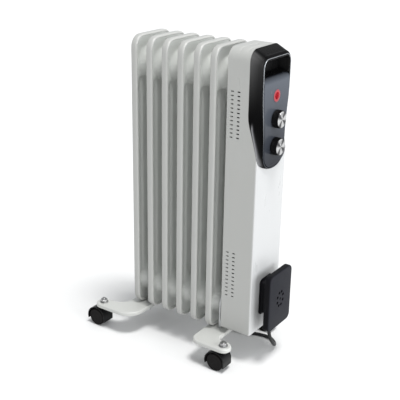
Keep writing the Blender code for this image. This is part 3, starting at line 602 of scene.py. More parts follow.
def make_looks():
    """Every look, by material slot; the looks without a slot go on kept CAD nodes."""
    black = (0.010, 0.010, 0.011)
    by_slot = {
        "white_enamel": {
            # the last colour is painted fill light for the fins' pressed faces
            "fin": enamel_look("fin_enamel", (0.450, 0.453, 0.437), (0.438, 0.441, 0.423), 0.30, 0.4,
                               (0.600, 0.612, 0.588)),
            "enamel": enamel_look("white_enamel", (0.510, 0.516, 0.497), (0.495, 0.500, 0.480), 0.30, 0.4),
            "housing": housing_look(),
            "half_painted": end_fin_look(),
        },
        "black_plastic": {
            "shell": shell_look(),
            "plate": plate_look(),
            "knob": plastic_look("knob_black", (0.004, 0.004, 0.0045), 0.36, 1600.0, 0.00002,
                                 (0.008, 0.008, 0.009), 0.09),
            "mark": plastic_look("mark_grey", (0.10, 0.10, 0.105), 0.5, 1600.0, 0.00001),
            "hood": plastic_look("hood_black", (0.005, 0.005, 0.0055), 0.30, 900.0, 0.00003,
                                 (0.009, 0.009, 0.010), 0.2),
        },
        "wheel_black": {
            "wheel": plastic_look("wheel_black", (0.009, 0.0085, 0.0085), 0.52, 700.0, 0.00005,
                                  (0.022, 0.021, 0.020), 0.08),
        },
        "cord_black": {"cord": plastic_look("cord_black", black, 0.5, 800.0, 0.00004, specular=0.35)},
        "moulded_black": {
            "moulded": plastic_look("moulded_black", black, 0.46, 1000.0, 0.00005, specular=0.4),
        },
        "grey_gloss_fascia": {"fascia": fascia_look()},
        "silver_trim": {"trim": trim_look()},
        "spun_aluminium": {"spun": spun_look()},
        "zinc_steel": {
            "zinc": metal_look("zinc_steel", (0.62, 0.63, 0.64), 0.34),
            "bolt": metal_look("bolt_steel", (0.40, 0.40, 0.40), 0.30),
        },
        "red_lens": {
            "lens": lens_look("red_lens", (0.17, 0.0, 0.003), (0.30, 0.001, 0.008), 0.15),
            "halo": halo_look(),
        },
        None: {
            "shield": metal_look("shield_steel", (0.60, 0.61, 0.62), 0.38, (1.0, 14.0, 1.0)),
            "sheath": metal_look("element_sheath", (0.40, 0.39, 0.38), 0.45, (0.2, 3.0, 3.0), 120.0),
            "phenolic": mottled_look("phenolic_brown", (0.060, 0.036, 0.027), (0.095, 0.060, 0.044), 0.55),
            "terminal": mottled_look("terminal_white", (0.62, 0.62, 0.57), (0.70, 0.70, 0.66), 0.55),
        },
    }
    return {key: (slot, look.material) for slot, group in by_slot.items() for key, look in group.items()}


# ---- fins

def side_heights(low, high, bottom, top):
    """Heights up a fin's side, close together where the pressed recess starts and ends."""
    low_step = bottom + RECESS_FROM_BOTTOM
    high_step = top - RECESS_FROM_TOP
    around = 0.0035
    stops = [low, low_step - around, low_step + around, high_step - around, high_step + around, high]
    heights = []
    for start, end, count in zip(stops, stops[1:], (9, 6, 26, 6, 9)):
        heights += [start + (end - start) * k / count for k in range(count)]
    return heights + [high]


def fin_half_outline(half, bottom, top, distance):
    """The right half of the fin's outline, moved inwards, from bottom middle to top middle."""
    width = half - distance
    radius = min(max(FIN_CORNER - distance, 0.0012), width * 0.7)
    low, high = bottom + distance, top - distance
    flat = [(width - radius) * (k + 0.5) / 7 for k in range(7)]
    arc = quarter(6)[1:-1]
    points = [(y, low) for y in flat]
    points += [(width - radius + radius * s, low + radius - radius * c) for c, s in arc]
    points += [(width, z) for z in side_heights(low + radius, high - radius, bottom, top)]
    points += [(width - radius + radius * c, high - radius + radius * s) for c, s in arc]
    return points + [(y, high) for y in reversed(flat)]


def fin_depth(y, z, distance, half, bottom, top, joint):
    """How far a pressed face lies below the rim's plane; below zero where it stands proud."""
    if distance < EDGE_ROUND:
        return EDGE_ROUND - sqrt(EDGE_ROUND ** 2 - (EDGE_ROUND - distance) ** 2)
    low, high = bottom + RECESS_FROM_BOTTOM, top - RECESS_FROM_TOP
    over_y = abs(y) - (half - 0.005 - RECESS_CORNER)
    over_z = abs(z - (low + high) / 2) - ((high - low) / 2 - RECESS_CORNER)
    outside = hypot(max(over_y, 0.0), max(over_z, 0.0)) + min(max(over_y, over_z), 0.0) - RECESS_CORNER
    lower = smooth_step((low + 0.030 - z) / 0.030)
    recess = smooth_step(-outside / (0.003 + 0.011 * lower) + 0.5)
    plateau = PLATEAU_DEPTH + 0.0026 * lower
    depth = plateau + (RECESS_DEPTH - plateau) * recess
    ends = smooth_step((z - low - 0.012) / 0.012) * smooth_step((high - 0.012 - z) / 0.012)
    for middle in (-CHANNEL_PITCH, 0.0, CHANNEL_PITCH):
        depth -= CHANNEL_RISE * smooth_step((CHANNEL_HALF - abs(y - middle)) / 0.004 + 0.5) * ends
    depth *= smooth_step((distance - EDGE_ROUND) / RIM_FALL)
    for middle in (bottom + GALLERY_FROM_EDGE, top - GALLERY_FROM_EDGE):
        reach = hypot(y / GALLERY_JOINT_Y, (z - middle) / GALLERY_JOINT_Z)
        bulge = smooth_step((1.55 - reach) / 0.55)
        depth = depth * (1 - bulge) - joint * bulge
    return depth


def fin_mesh(name, half, drop, back_joint):
    """A pressed fin: rolled edge, narrow rim, recessed face with channels, and two galleries."""
    bottom, top = FIN_BOTTOM + drop, FIN_TOP - drop
    distances = [0.0, 0.0003, 0.0008, 0.0014, 0.0021, 0.0028, 0.0034, 0.0036, 0.0040, 0.0044, 0.0049,
                 0.0054, 0.0062, 0.0072]
    start, inner = distances[-1], half - 0.0007
    steps = round((inner - start) / 0.002)
    distances += [start + (inner - start) * k / steps for k in range(1, steps + 1)]
    bm = bmesh.new()
    # per-vertex mask for the painted fill light on the pressed faces between fins
    pressed = bm.verts.layers.float.new("pressed")
    rims = []
    for joint, face_x, way in ((back_joint, 0.0, 1), (GALLERY_REACH, FIN_DEPTH, -1)):
        rings = []
        for distance in distances:
            right = fin_half_outline(half, bottom, top, distance)
            ring = []
            for y, z in right + [(-y, z) for y, z in reversed(right)]:
                depth = fin_depth(y, z, distance, half, bottom, top, joint)
                vert = bm.verts.new((face_x + way * depth, y, z))
                vert[pressed] = smooth_step((distance - PRESSED_FROM) / RIM_FALL)
                ring.append(vert)
            rings.append(ring)
        for outer, nearer in zip(rings, rings[1:]):
            bridge(bm, outer, nearer)
        last = rings[-1]
        for k in range(len(last) // 2 - 1):
            bm.faces.new((last[k], last[k + 1], last[-2 - k], last[-1 - k]))
        rims.append(rings[0])
    bridge(bm, *rims)
    return finish_mesh(bm, name, 60)


def make_fins():
    outer = fin_mesh("fin_outer", FIN_HALF, 0.0, GALLERY_OUTER)
    inner = fin_mesh("fin_inner", FIN_HALF, 0.0, GALLERY_REACH)
    for i in range(FIN_COUNT - 1):
        node_name = f"fin_{i + 1}"
        piece("pressed_" + node_name, inner if i else outer, "fin", node_name, at=(i * PITCH, 0, 0))
    end = fin_mesh("fin_end", END_FIN_HALF, END_FIN_DROP, GALLERY_REACH)
    piece("pressed_end_fin", end, "half_painted", "end_fin", at=((FIN_COUNT - 1) * PITCH, 0, 0))


# ---- housing

def housing_outline(distance, steps=14):
    """The housing's end view, moved inwards, with an extra point close to each end of every arc."""
    half, low = HOUSING_HALF_Y - distance, HOUSING_BOTTOM + distance
    high, top = HOUSING_TOP - distance, HOUSING_CORNER - distance
    corners = [(half, low, 0.004), (half, high, top), (-half, high, top), (-half, low, 0.004)]
    points = [Vector(point) for point in round_corners(corners, steps)]
    supported = []
    for first in range(0, len(points), steps + 1):
        arc = points[first:first + steps + 1]
        before = points[first - 1] - arc[0]
        after = points[(first + steps + 1) % len(points)] - arc[-1]
        supported += [arc[0] + before.normalized() * 0.0012, *arc, arc[-1] + after.normalized() * 0.0012]
    return [tuple(point) for point in supported]


def housing_ring(x, distance):
    """One ring of the housing, with its two shallow grooves pressed across the top."""
    groove = sum(exp(-((x - middle) / 0.0016) ** 2) for middle in (0.2400, 0.2560))
    ring = []
    for y, z in housing_outline(distance):
        upward = max(0.0, (z - (HOUSING_TOP - HOUSING_CORNER)) / HOUSING_CORNER)
        ring.append((x, y, z - 0.0009 * groove * upward ** 3))
    return ring


def seam_outline(shift, far_x):
    """What lies on one side of the line between housing and panel: straight down, then swept forwards."""
    line = [(0.0, 0.700), (0.0, 0.512), (0.0008, 0.502), (0.0030, 0.492), (0.0070, 0.4795),
            (0.0135, 0.458), (0.0195, 0.436), (0.0245, 0.398)]
    return [(PANEL_REAR + x + shift, z) for x, z in line] + [(far_x, 0.398), (far_x, 0.700)]


def vent_mesh():
    """Prisms for the vent slots, long enough to pass through both side walls."""
    outline = rounded_box(VENT_HALF_X, -VENT_HALF_Z, VENT_HALF_Z, VENT_HALF_Z * 0.98, 4)
    slots = []
    for top, pitch in (VENT_UPPER, VENT_LOWER):
        for row in range(VENT_ROWS):
            for x in VENT_COLUMNS:
                slots.append(slab([(x + u, top - row * pitch + v) for u, v in outline], 0.07))
    return merged("vent_slots", slots)


def make_housing():
    bevel = 0.003
    start = HOUSING_REAR + 0.0004
    stations = [(HOUSING_REAR, 0.0004), (start, 0.0)]
    stations += [(start + 0.0008 * k, 0.0) for k in range(1, 60)]
    stations += [(HOUSING_FRONT - bevel - 0.0012, 0.0), (HOUSING_FRONT - bevel - 0.0006, 0.0)]
    stations += [(HOUSING_FRONT - bevel + bevel * s, bevel - bevel * c) for c, s in quarter(7)]
    body = loft("control_housing", [housing_ring(x, distance) for x, distance in stations])
    inside = housing_outline(SHEET, 6)
    hollow = loft("hollow", [along_x(inside, HOUSING_REAR - 0.01), along_x(inside, HOUSING_FRONT - SHEET)])
    wedge = slab(seam_outline(-GAP, 0.36), 0.08)
    mesh = carved(body, [hollow, wedge, vent_mesh()], 30)
    piece("housing_sheet", mesh, "housing", "control_housing")


# ---- control panel

SHELL_FRONT_HALF = [(0.440, 0.0392), (0.470, 0.0397), (0.500, 0.0424), (0.515, 0.0446), (0.530, 0.0468),
                    (0.550, 0.0482), (0.570, 0.0487), (0.598, 0.0490)]
CREASE = [(0.400, 0.2880), (0.430, 0.2865), (0.450, 0.2826), (0.470, 0.2776), (0.485, 0.2740),
          (0.495, 0.2732), (0.510, 0.2765), (0.530, 0.2822), (0.620, 0.2832)]


def panel_half_points():
    """Right half of the panel as pairs: a point of the rear outline and its place at the front."""
    pairs = []
    for k in range(22):
        angle = pi / 2 * (k + 0.4) / 22
        share = sin(angle)
        rear = (HOUSING_HALF_Y * share, 0.404 + 0.013 * share ** 2 + 0.012 * share ** 8)
        pairs.append((rear, (0.0392 * share ** 0.9, 0.440 - 0.0352 * cos(angle) ** 0.8)))
    for k in range(46):
        share = k / 45
        height = 0.440 + (0.598 - 0.440) * share
        rear = (HOUSING_HALF_Y, 0.429 + (0.608 - 0.429) * share)
        pairs.append((rear, (between(SHELL_FRONT_HALF, height), height)))
    for c, s in quarter(13)[1:]:
        pairs.append(((0.032 + 0.022 * c, 0.608 + 0.022 * s), (0.032 + 0.017 * c, 0.598 + 0.017 * s)))
    for k in range(6):
        y = 0.032 * (1 - (k + 1) / 6.5)
        pairs.append(((y, HOUSING_TOP), (y, PANEL_FRONT_TOP)))
    return pairs


def roof_share(x):
    """Where a roof point lies between its front and rear heights."""
    knee = PANEL_FRONT - 0.0045
    if x <= knee:
        return 1 - 0.70 * (x - PANEL_REAR) / (knee - PANEL_REAR)
    return 0.30 * sqrt(max(0.0, 1 - ((x - knee) / (PANEL_FRONT - knee)) ** 2))


def side_share(x, z):
    """The same for a side point: rounded above, scooped out below the swept crease."""
    crease = between(CREASE, z)
    if x <= crease:
        return 1.0
    reach = (x - crease) / (PANEL_FRONT - crease)
    rounded = sqrt(max(0.0, 1 - reach * reach))
    scooped = (1 - reach) ** 1.7
    return scooped + (rounded - scooped) * smooth_step((z - 0.497) / 0.033)


def panel_drills():
    """Tools for the openings of the two spindles and the lamp."""
    openings = [(KNOBS["thermostat"], 0.0045), (KNOBS["selector"], 0.0045), (LAMP_Z, 0.0044)]
    return [drill(radius, 0.270, 0.320, "X", (0, 0, z)) for z, radius in openings]


def grip_tool():
    """The finger pocket: a rounded slot with a flared mouth that narrows towards its back."""
    rings = []
    for x, grow in ((-GRIP_DEPTH, -0.0040), (-0.006, -0.0008), (-0.0016, 0.0), (-0.0006, 0.0003),
                    (0.0, 0.0009), (0.010, 0.0009)):
        slot = rounded_box(GRIP_HALF + grow, GRIP_LIP - min(grow, 0.0), GRIP_TOP + grow, 0.0095 + grow, 8)
        rings.append(along_x(slot, PANEL_FRONT + x))
    return loft("grip", rings)


def lip_tool():
    """Clears the shell from above the fascia's curled top edge."""
    curl = FASCIA_CURL - 0.001
    middle_x, middle_z, over = FASCIA_FRONT - FASCIA_CURL, GRIP_LIP - FASCIA_CURL, GRIP_LIP + 0.0005
    arc = [(middle_x + curl * c, middle_z + curl * s) for c, s in quarter(8)]
    return slab(arc + [(middle_x, over), (0.300, over), (0.300, arc[0][1])], 0.0451)


def make_shell():
    pairs = panel_half_points()
    stations = [PANEL_REAR + (PANEL_FRONT - PANEL_REAR) * k / 34 for k in range(31)]
    stations += [PANEL_FRONT - 0.0028 * (1 - k / 9) ** 1.8 for k in range(10)]
    rings = []
    for x in stations:
        right = []
        for (rear_y, rear_z), (front_y, front_z) in pairs:
            z = front_z + (rear_z - front_z) * roof_share(x)
            right.append((x, front_y + (rear_y - front_y) * side_share(x, z), z))
        rings.append(right + [(x, -y, z) for _, y, z in reversed(right)])
    inner = PANEL_FRONT - 0.0025
    hollow = slab([(inner, 0.570), (0.20, 0.570), (0.20, 0.472), (0.279, 0.472), (inner, 0.436)], 0.0382)
    step_x = HOUSING_FRONT + GAP
    step = slab([(step_x, 0.43), (0.20, 0.43), (0.20, 0.35), (step_x, 0.35)], 0.08)
    behind = slab(seam_outline(GAP, 0.20), 0.08)
    cuts = [behind, hollow, step, grip_tool(), fascia_mesh(GAP), lip_tool(), *panel_drills()]
    mesh = carved(loft("panel_shell", rings), cuts, 50)
    glint = mesh.attributes.new("glint", "FLOAT", "POINT")
    for vertex, value in zip(mesh.vertices, glint.data):
        x, y, z = vertex.co
        swept = smooth_step((0.500 - z) / 0.012) * smooth_step((z - 0.412) / 0.012)
        value.value = swept * exp(-((x - between(CREASE, z) + 0.0006) / 0.0013) ** 2)
    piece("panel_moulding", mesh, "shell", "panel_shell")


def fascia_mesh(grow=0.0):
    """The fascia sheet: a shallow arc below, straight up, then curled back into the finger recess."""
    front, curl, edge, round_edge = FASCIA_FRONT, FASCIA_CURL, 0.0028, 0.0006
    bend_z = GRIP_LIP - curl
    low, arc_top = 0.4080, 0.440
    stations = []
    for k in range(16):
        angle = pi / 2 * (0.06 + 0.94 * k / 15)
        half = (0.0392 - edge) * sin(angle) ** 0.9
        stations.append((half, front, arc_top - (arc_top - low) * cos(angle) ** 0.8, 1.0, 0.0))
    for k in range(1, 25):
        z = arc_top + (bend_z - arc_top) * k / 24
        tuck = 0.0010 * smooth_step((z - 0.560) / 0.012)
        stations.append((between(SHELL_FRONT_HALF, z) - edge - tuck, front, z, 1.0, 0.0))
    tucked = stations[-1][0]
    stations += [(tucked, front - curl + curl * c, bend_z + curl * s, c, s) for c, s in quarter(8)[1:]]
    stations.append((tucked, 0.2705, GRIP_LIP, 0.0, 1.0))
    rings = []
    for half, x, z, c, s in stations:
        across = [-half + round_edge + (2 * half - 2 * round_edge) * k / 12 for k in range(13)]
        section = [(-half, FASCIA_THICK), (-half, round_edge), *[(y, 0.0) for y in across],
                   (half, round_edge), (half, FASCIA_THICK)]
        if grow:
            section = [(-half - grow, FASCIA_THICK + grow), (-half - grow, -grow),
                       (half + grow, -grow), (half + grow, FASCIA_THICK + grow)]
        rings.append([(x - depth * c, y, z - depth * s) for y, depth in section])
    return loft("fascia", rings, 40)


def make_fascia():
    piece("fascia_sheet", carved(fascia_mesh(), panel_drills(), 40), "fascia", "fascia")
    base = PANEL_FRONT + GAP
    right = [front for rear, front in panel_half_points()]
    outer = inset(right + [(-y, z) for y, z in reversed(right)], 0.0007)
    rings = [along_x(outer, base)]
    for k in range(7):
        angle = pi * k / 6
        width = 0.0006 * (1 - cos(angle))
        rings.append(along_x(inset(outer, width), base + 0.0010 + 0.0006 * sin(angle)))
    rings.append(along_x(inset(outer, 0.0012), base))
    piece("fascia_trim_line", loft("fascia_trim", rings, 40, hoop=True), "trim", "fascia_trim")


def make_lamp():
    """A domed lens in a flat ring that lies on the fascia."""
    seat = FASCIA_FRONT + GAP
    lens = [(0.0036, PANEL_FRONT - 0.020), (0.0040, PANEL_FRONT - 0.018), (0.0040, seat),
            (0.0061, seat + 0.0003), (0.0064, seat + 0.0004)]
    lens += [(0.0066 * c, seat + 0.0006 + 0.0022 * s) for c, s in quarter(10)[:-1]]
    piece("lamp_lens", turned("lamp_lens", lens, 48, "X", 60), "lens", "indicator_lamp", at=(0, 0, LAMP_Z))
    section = [(0.0068, 0.0), (0.0068, 0.0004), (0.0072, 0.0006), (0.0100, 0.0003), (0.0121, 0.0001),
               (0.0122, 0.0)]
    rings = [[(seat + rise, radius * y, radius * z) for radius, rise in section] for y, z in circle(1.0, 64)]
    piece("lamp_rim", loft("lamp_rim", rings, 60, hoop=True), "halo", at=(0, 0, LAMP_Z))


def knob_mesh():
    """A knob with fine flutes round its grip, a plain skirt and a bevelled seat for its cap."""
    back = PANEL_FRONT + FASCIA_THICK + 0.0009
    wall = KNOB_FRONT - 0.0005
    count, flutes = 240, 40
    profile = [(0.0010, back, 0.0), (0.0002, back + 0.0006, 0.0), (0.0, back + 0.0012, 0.0),
               (0.0, back + 0.0022, 0.0), (0.0002, back + 0.0028, 1.0), (0.0003, wall - 0.0016, 1.0),
               (0.0004, wall - 0.0010, 0.3), (0.0006, wall - 0.0005, 0.0), (0.0009, wall, 0.0),
               (0.0012, wall, 0.0), (0.0012, wall - 0.0010, 0.0)]
    rings = []
    for drop, x, cut in profile:
        ring = []
        for i, (u, v) in enumerate(circle(1.0, count)):
            wave = 0.5 - 0.5 * cos(flutes * 2 * pi * i / count)
            radius = KNOB_RADIUS - drop - 0.00045 * cut * wave ** 2
            ring.append((x, radius * u, radius * v))
        rings.append(ring)
    return carved(loft("knob", rings, 40), [drill(0.0034, back - 0.002, back + 0.009, "X", count=24)], 40)


def mark_mesh(face):
    """The pointer: a small raised oval loop near the top of the cap."""
    rings = []
    for u, v in circle(1.0, 40):
        ring = []
        for a, b in circle(1.0, 8):
            reach = 1.0 + 0.12 * a
            ring.append((face + 0.0001 + 0.00018 * b, 0.0019 * u * reach, 0.0092 + 0.0029 * v * reach))
        rings.append(ring)
    return loft("pointer", rings, 60, hoop=True)


def make_knobs():
    seat = KNOB_FRONT - 0.0005 - 0.0010 + GAP
    rim = KNOB_RADIUS - 0.0015
    profile = [(rim, 0.0), (rim, 0.0008), (rim - 0.0002, 0.0011), (rim - 0.0005, 0.0013), (0.0140, 0.0013),
               (0.0130, 0.0013), (0.0110, 0.0013), (0.0085, 0.00125), (0.0050, 0.0012), (0.0020, 0.0012),
               (0.0004, 0.0012)]
    cap = turned("knob_cap", [(radius, seat + rise) for radius, rise in profile], 120, "X", 40)
    knob, mark = knob_mesh(), mark_mesh(seat + 0.0013)
    for label, z in KNOBS.items():
        place = {"body": label + "_knob", "at": (0, 0, z)}
        piece(label + "_grip", knob, "knob", label + "_knob", **place)
        piece(label + "_disc", cap, "spun", label + "_cap", **place)
        piece(label + "_mark", mark, "mark", **place)


# ---- cord plate and cord

def make_cord_plate():
    """The plate and its neck, with a soft bevel in front and an oval ring of small round holes."""
    flange, bevel = HOUSING_FRONT + GAP, 0.0026
    plate = (WRAP_TOP - WRAP_BOTTOM) / 2 + 0.0014
    sections = [(flange, 0.0226, 0.0386, 0.010), (flange + 0.0004, 0.023, 0.039, 0.010),
                (flange + 0.0025, 0.023, 0.039, 0.010), (flange + 0.0029, 0.0226, 0.0386, 0.010),
                (flange + 0.0036, 0.0212, 0.0355, 0.009), (flange + 0.0050, 0.0205, NECK_HALF_Z, 0.009),
                (WRAP_PLATE_BACK - 0.002, 0.021, NECK_HALF_Z, 0.009),
                (WRAP_PLATE_BACK - 0.0006, 0.0220, 0.0360, 0.009), (WRAP_PLATE_BACK, 0.0240, 0.0380, 0.009),
                (WRAP_PLATE_BACK, WRAP_HALF_Y - 0.0025, plate - 0.0025, 0.0105)]
    edge = [(WRAP_PLATE_BACK + 0.0025 - 0.0022 * c, 0.0022 * (1 - s)) for c, s in quarter(5)]
    edge.append((WRAP_FRONT - bevel - 0.0006, 0.0))
    edge += [(WRAP_FRONT - bevel + bevel * s, bevel * (1 - c)) for c, s in quarter(6)]
    sections += [(x, WRAP_HALF_Y - drop, plate - drop, 0.012 - drop) for x, drop in edge]
    rings = []
    for x, half_y, half_z, radius in sections:
        rings.append(along_x(rounded_box(half_y, WRAP_MIDDLE - half_z, WRAP_MIDDLE + half_z, radius, 10), x))
    eighths = [2 * pi * (k + 0.5) / 8 for k in range(8)]
    places = [(0.0033, 0.0115 * cos(a), 0.0150 * sin(a)) for a in eighths]
    places.append((0.0026, 0.0, 0.0))
    holes = [drill(radius, WRAP_FRONT - 0.003, WRAP_FRONT + 0.002, "X", (0, y, WRAP_MIDDLE + rise), 24)
             for radius, y, rise in places]
    mesh = carved(loft("cord_plate", rings), [merged("holes", holes)])
    piece("cord_plate", mesh, "plate", "cord_wrap")


def coil_point(turn):
    """A point of the wound cord at a turning angle in degrees, counted on over all the turns."""
    radius = between([(-20, 0.0495), (40, 0.0420), (280, 0.0420), (340, 0.0350), (880, 0.0350), (940, 0.0420),
                      (1480, 0.0420), (1540, 0.0350), (1603, 0.0403)], turn)
    height = between([(-20, 0.0037), (40, 0.0047), (580, 0.0047), (640, 0.0118), (1180, 0.0118),
                      (1240, 0.0188), (1530, 0.0188), (1603, 0.0292)], turn)
    angle = radians(turn)
    return (COIL_CENTRE[0] + radius * cos(angle), COIL_CENTRE[1] + radius * sin(angle), height)


def make_cord():
    """The mains cord: its free stretch, then the coil, up into the plug that lies on top."""
    turns = [coil_point(turn) for turn in range(0, 1580, 20)]
    tail = (COIL_CENTRE[0] - COIL_MEAN_RADIUS + 0.0004, COIL_CENTRE[1] + PLUG_TAIL_Y + 0.0002, 0.0292)
    points = [Vector(point) for point in CORD_ROUTE + turns + [tail]]
    curve = bpy.data.curves.new("mains_cord", "CURVE")
    curve.dimensions = "3D"
    curve.bevel_depth = CORD_DIAMETER / 2
    curve.bevel_resolution = 5
    curve.resolution_u = 6
    curve.use_fill_caps = True
    spline = curve.splines.new("BEZIER")
    spline.bezier_points.add(len(points) - 1)
    for i, (knot, here) in enumerate(zip(spline.bezier_points, points)):
        reach = (points[min(i + 1, len(points) - 1)] - points[max(i - 1, 0)]) / 6
        knot.handle_left_type = knot.handle_right_type = "FREE"
        knot.co = here
        knot.handle_left = here - reach
        knot.handle_right = here + reach
    cord = piece("mains_cord", curve, "cord", "cord", "cord_coil")
    relief, tie, plug = make_relief(), make_tie(), make_plug()


def make_relief():
    """A tapered boot with moulded rings where the cord leaves the plate's neck."""
    start = WRAP_MIDDLE - NECK_HALF_Z - GAP
    end = CORD_ROUTE[0][2] + GAP
    profile = [(0.0070, start), (0.0072, start - 0.0003), (0.0072, start - 0.0024), (0.0068, start - 0.0028)]
    ribs = 7
    length = start - 0.0030 - end
    for k in range(ribs):
        top = start - 0.0030 - length * k / ribs
        radius = 0.0059 - 0.0017 * k / (ribs - 1)
        for narrower, share in ((0.0, 0.0), (0.0, 0.55), (0.0005, 0.62), (0.0005, 0.93)):
            profile.append((radius - narrower, top - length * share / ribs))
    profile.append((0.0037, end))
    mesh = turned("strain_relief_boot", profile, 40, "Z", 30)
    return piece("strain_relief_boot", mesh, "moulded", "strain_relief", at=(CORD_ROUTE[0][0], 0, 0))


def make_tie():
    """A flat strap round the coil's turns, with its overlapped end."""
    low_r, high_r = 0.0304, 0.0512
    middle, top, edge = (low_r + high_r) / 2 - COIL_MEAN_RADIUS, COIL_TOP + GAP, 0.0003
    inner = [(middle + u, v) for u, v in rounded_box((high_r - low_r) / 2, 0.0009, top, 0.0038, 6)]
    outer = inset(inner, -0.0008)
    rounded_inner, rounded_outer = inset(inner, -edge), inset(outer, edge)
    section = [(rounded_inner, -0.0040), (rounded_outer, -0.0040), (outer, -0.0037), (outer, 0.0037),
               (rounded_outer, 0.0040), (rounded_inner, 0.0040), (inner, 0.0037), (inner, -0.0037)]
    strap = loft("strap", [along_y(outline, y) for outline, y in section], 40, hoop=True)
    end = rounded_box(0.0058, -0.0036, 0.0036, 0.0020, 5)
    flap = loft("flap", [along_z(end, top + 0.0009), along_z(end, top + 0.0013),
                         along_z(inset(end, 0.0004), top + 0.0016)])
    mesh = merged("tie_strap", [strap, moved(flap, (middle, 0, 0))], 40)
    return piece("tie_strap", mesh, "moulded", "cord_tie",
                 at=(COIL_CENTRE[0] + COIL_MEAN_RADIUS, COIL_CENTRE[1], 0))


def make_plug():
    """A two-pin moulded plug with a tapered, ringed neck and rounded shoulders."""
    thick = 0.0065
    steps = [(0.000, 0.0042, 0.0042), (0.0012, 0.0047, 0.0046), (0.0028, 0.0047, 0.0046),
             (0.0032, 0.0054, 0.0050), (0.0050, 0.0058, 0.0051), (0.0054, 0.0063, 0.0053),
             (0.0072, 0.0072, 0.0055), (0.0090, 0.0096, 0.0059), (0.0115, 0.0126, 0.0062),
             (0.0145, 0.0143, 0.0064), (0.018, 0.0150, thick), (0.024, 0.0153, thick),
             (0.030, 0.0158, thick), (0.0335, 0.0162, thick), (0.0348, 0.0161, 0.0063),
             (0.0356, 0.0155, 0.0058), (0.036, 0.0148, 0.0052)]
    rings = []
    for x, half_y, half_z in steps:
        round_edge = min(half_z, half_y) * 0.86
        rings.append(along_x(rounded_box(half_y, thick - half_z, thick + half_z, round_edge, 8), x))
    place = {"at": (COIL_CENTRE[0] - COIL_MEAN_RADIUS, COIL_CENTRE[1] + PLUG_TAIL_Y, COIL_TOP + GAP),
             "rotation": -pi / 2}
    moulding = piece("plug_moulding", loft("plug_body", rings, 50), "moulded", "plug", **place)
    pin = turned("pin", [(0.0024, 0.0362), (0.0024, 0.0532), (0.0021, 0.0543), (0.0014, 0.0550)], 32, "X")
    pins = merged("plug_pins", [moved(pin, (0, y, thick)) for y in (-0.0095, 0.0095)])
    pair = piece("plug_pins", pins, "zinc", **place)
    pair.parent = moulding
    pair.matrix_parent_inverse = moulding.matrix_world.inverted()
    return moulding


# ---- feet and casters

def foot_outline(side, distance):
    """A bar across the heater with an arm at each end, turned outwards to the casters."""
    near, far = FOOT_BAR[side] if side == "left" else FOOT_BAR[side][::-1]
    tip = BOLT_X[side] + copysign(ARM_HALF, BOLT_X[side] - near)
    end, root = BOLT_Y + ARM_HALF, BOLT_Y - ARM_HALF
    outer, inner = FOOT_SWEEP[side]
    half = [(far, -end, outer), (tip, -end, ARM_CORNER), (tip, -root, ARM_CORNER), (near, -root, inner)]
    corners = half + [(x, -y, radius) for x, y, radius in reversed(half)]
    if side == "left":
        corners = corners[:1] + corners[:0:-1]
    points = round_corners(corners, 14)
    return inset(points, distance) if distance else points


def make_foot(side):
    """The pressed foot: a folded-down edge, hollow beneath, drilled for its bolts."""
    base, under, bend = FOOT_TOP - FOOT_DEPTH, FOOT_TOP - FOOT_SHEET, 0.0026
    levels = [(FOOT_SHEET + 0.0012, under), (FOOT_SHEET + 0.0004, under - 0.0004),
              (FOOT_SHEET, under - 0.0012), (FOOT_SHEET, base + 0.0002), (FOOT_SHEET - 0.0002, base),
              (0.0002, base), (0.0, base + 0.0002)]
    levels += [(bend - bend * c, FOOT_TOP - bend + bend * s) for c, s in quarter(6)]
    levels.append((bend + 0.0006, FOOT_TOP))
    rings = [along_z(foot_outline(side, distance), z) for distance, z in levels]
    bolts = [(BOLT_X[side], BOLT_Y, STEM_RADIUS), (U_BOLT_X[side], U_BOLT_HALF, U_BOLT_ROD)]
    drills = [drill(radius + 0.0004, 0.03, 0.07, "Z", (x, way * y, 0), 28)
              for x, y, radius in bolts for way in (1, -1)]
    mesh = carved(loft("foot_" + side, rings, 30), [merged("drills", drills)], 30)
    piece(f"foot_{side}_pressing", mesh, "enamel", "foot_" + side)


def make_u_bolt(side):
    """A bent rod over the gallery and the wing nuts that draw it down through the foot."""
    crown = FIN_BOTTOM + GALLERY_FROM_EDGE
    legs = [Vector((0.0, -U_BOLT_HALF, 0.036)), Vector((0.0, -U_BOLT_HALF, 0.070))]
    bow = [pi * k / 24 for k in range(25)]
    points = legs + [Vector((0.0, -U_BOLT_HALF * cos(a), crown + U_BOLT_RISE * sin(a))) for a in bow]
    points += [Vector((0.0, -leg.y, leg.z)) for leg in reversed(legs)]
    rings = []
    for i, here in enumerate(points):
        way = (points[min(i + 1, len(points) - 1)] - points[max(i - 1, 0)]).normalized()
        side_way = way.cross(Vector((1, 0, 0))).normalized()
        rings.append([here + Vector((u, 0, 0)) + side_way * v for u, v in circle(U_BOLT_ROD, 20)])
    rod = loft("u_bolt", rings, 50)
    piece(f"u_bolt_{side}_rod", rod, "zinc", "u_bolt_" + side, at=(U_BOLT_X[side], 0, 0))
    top = FOOT_TOP - FOOT_SHEET - GAP
    for label, y in (("near", -U_BOLT_HALF), ("far", U_BOLT_HALF)):
        name = f"wing_nut_{side}_{label}"
        hub = turned("hub", [(0.0050, top - 0.0075), (0.0055, top - 0.0070), (0.0068, top - 0.0004),
                             (0.0065, top)], 32, "Z")
        nut = carved(hub, [drill(U_BOLT_ROD + 0.0003, 0.03, 0.07, "Z", count=24)], 40, [wing_mesh(top)])
        piece(name + "_cast", nut, "zinc", name, at=(U_BOLT_X[side], y, 0))


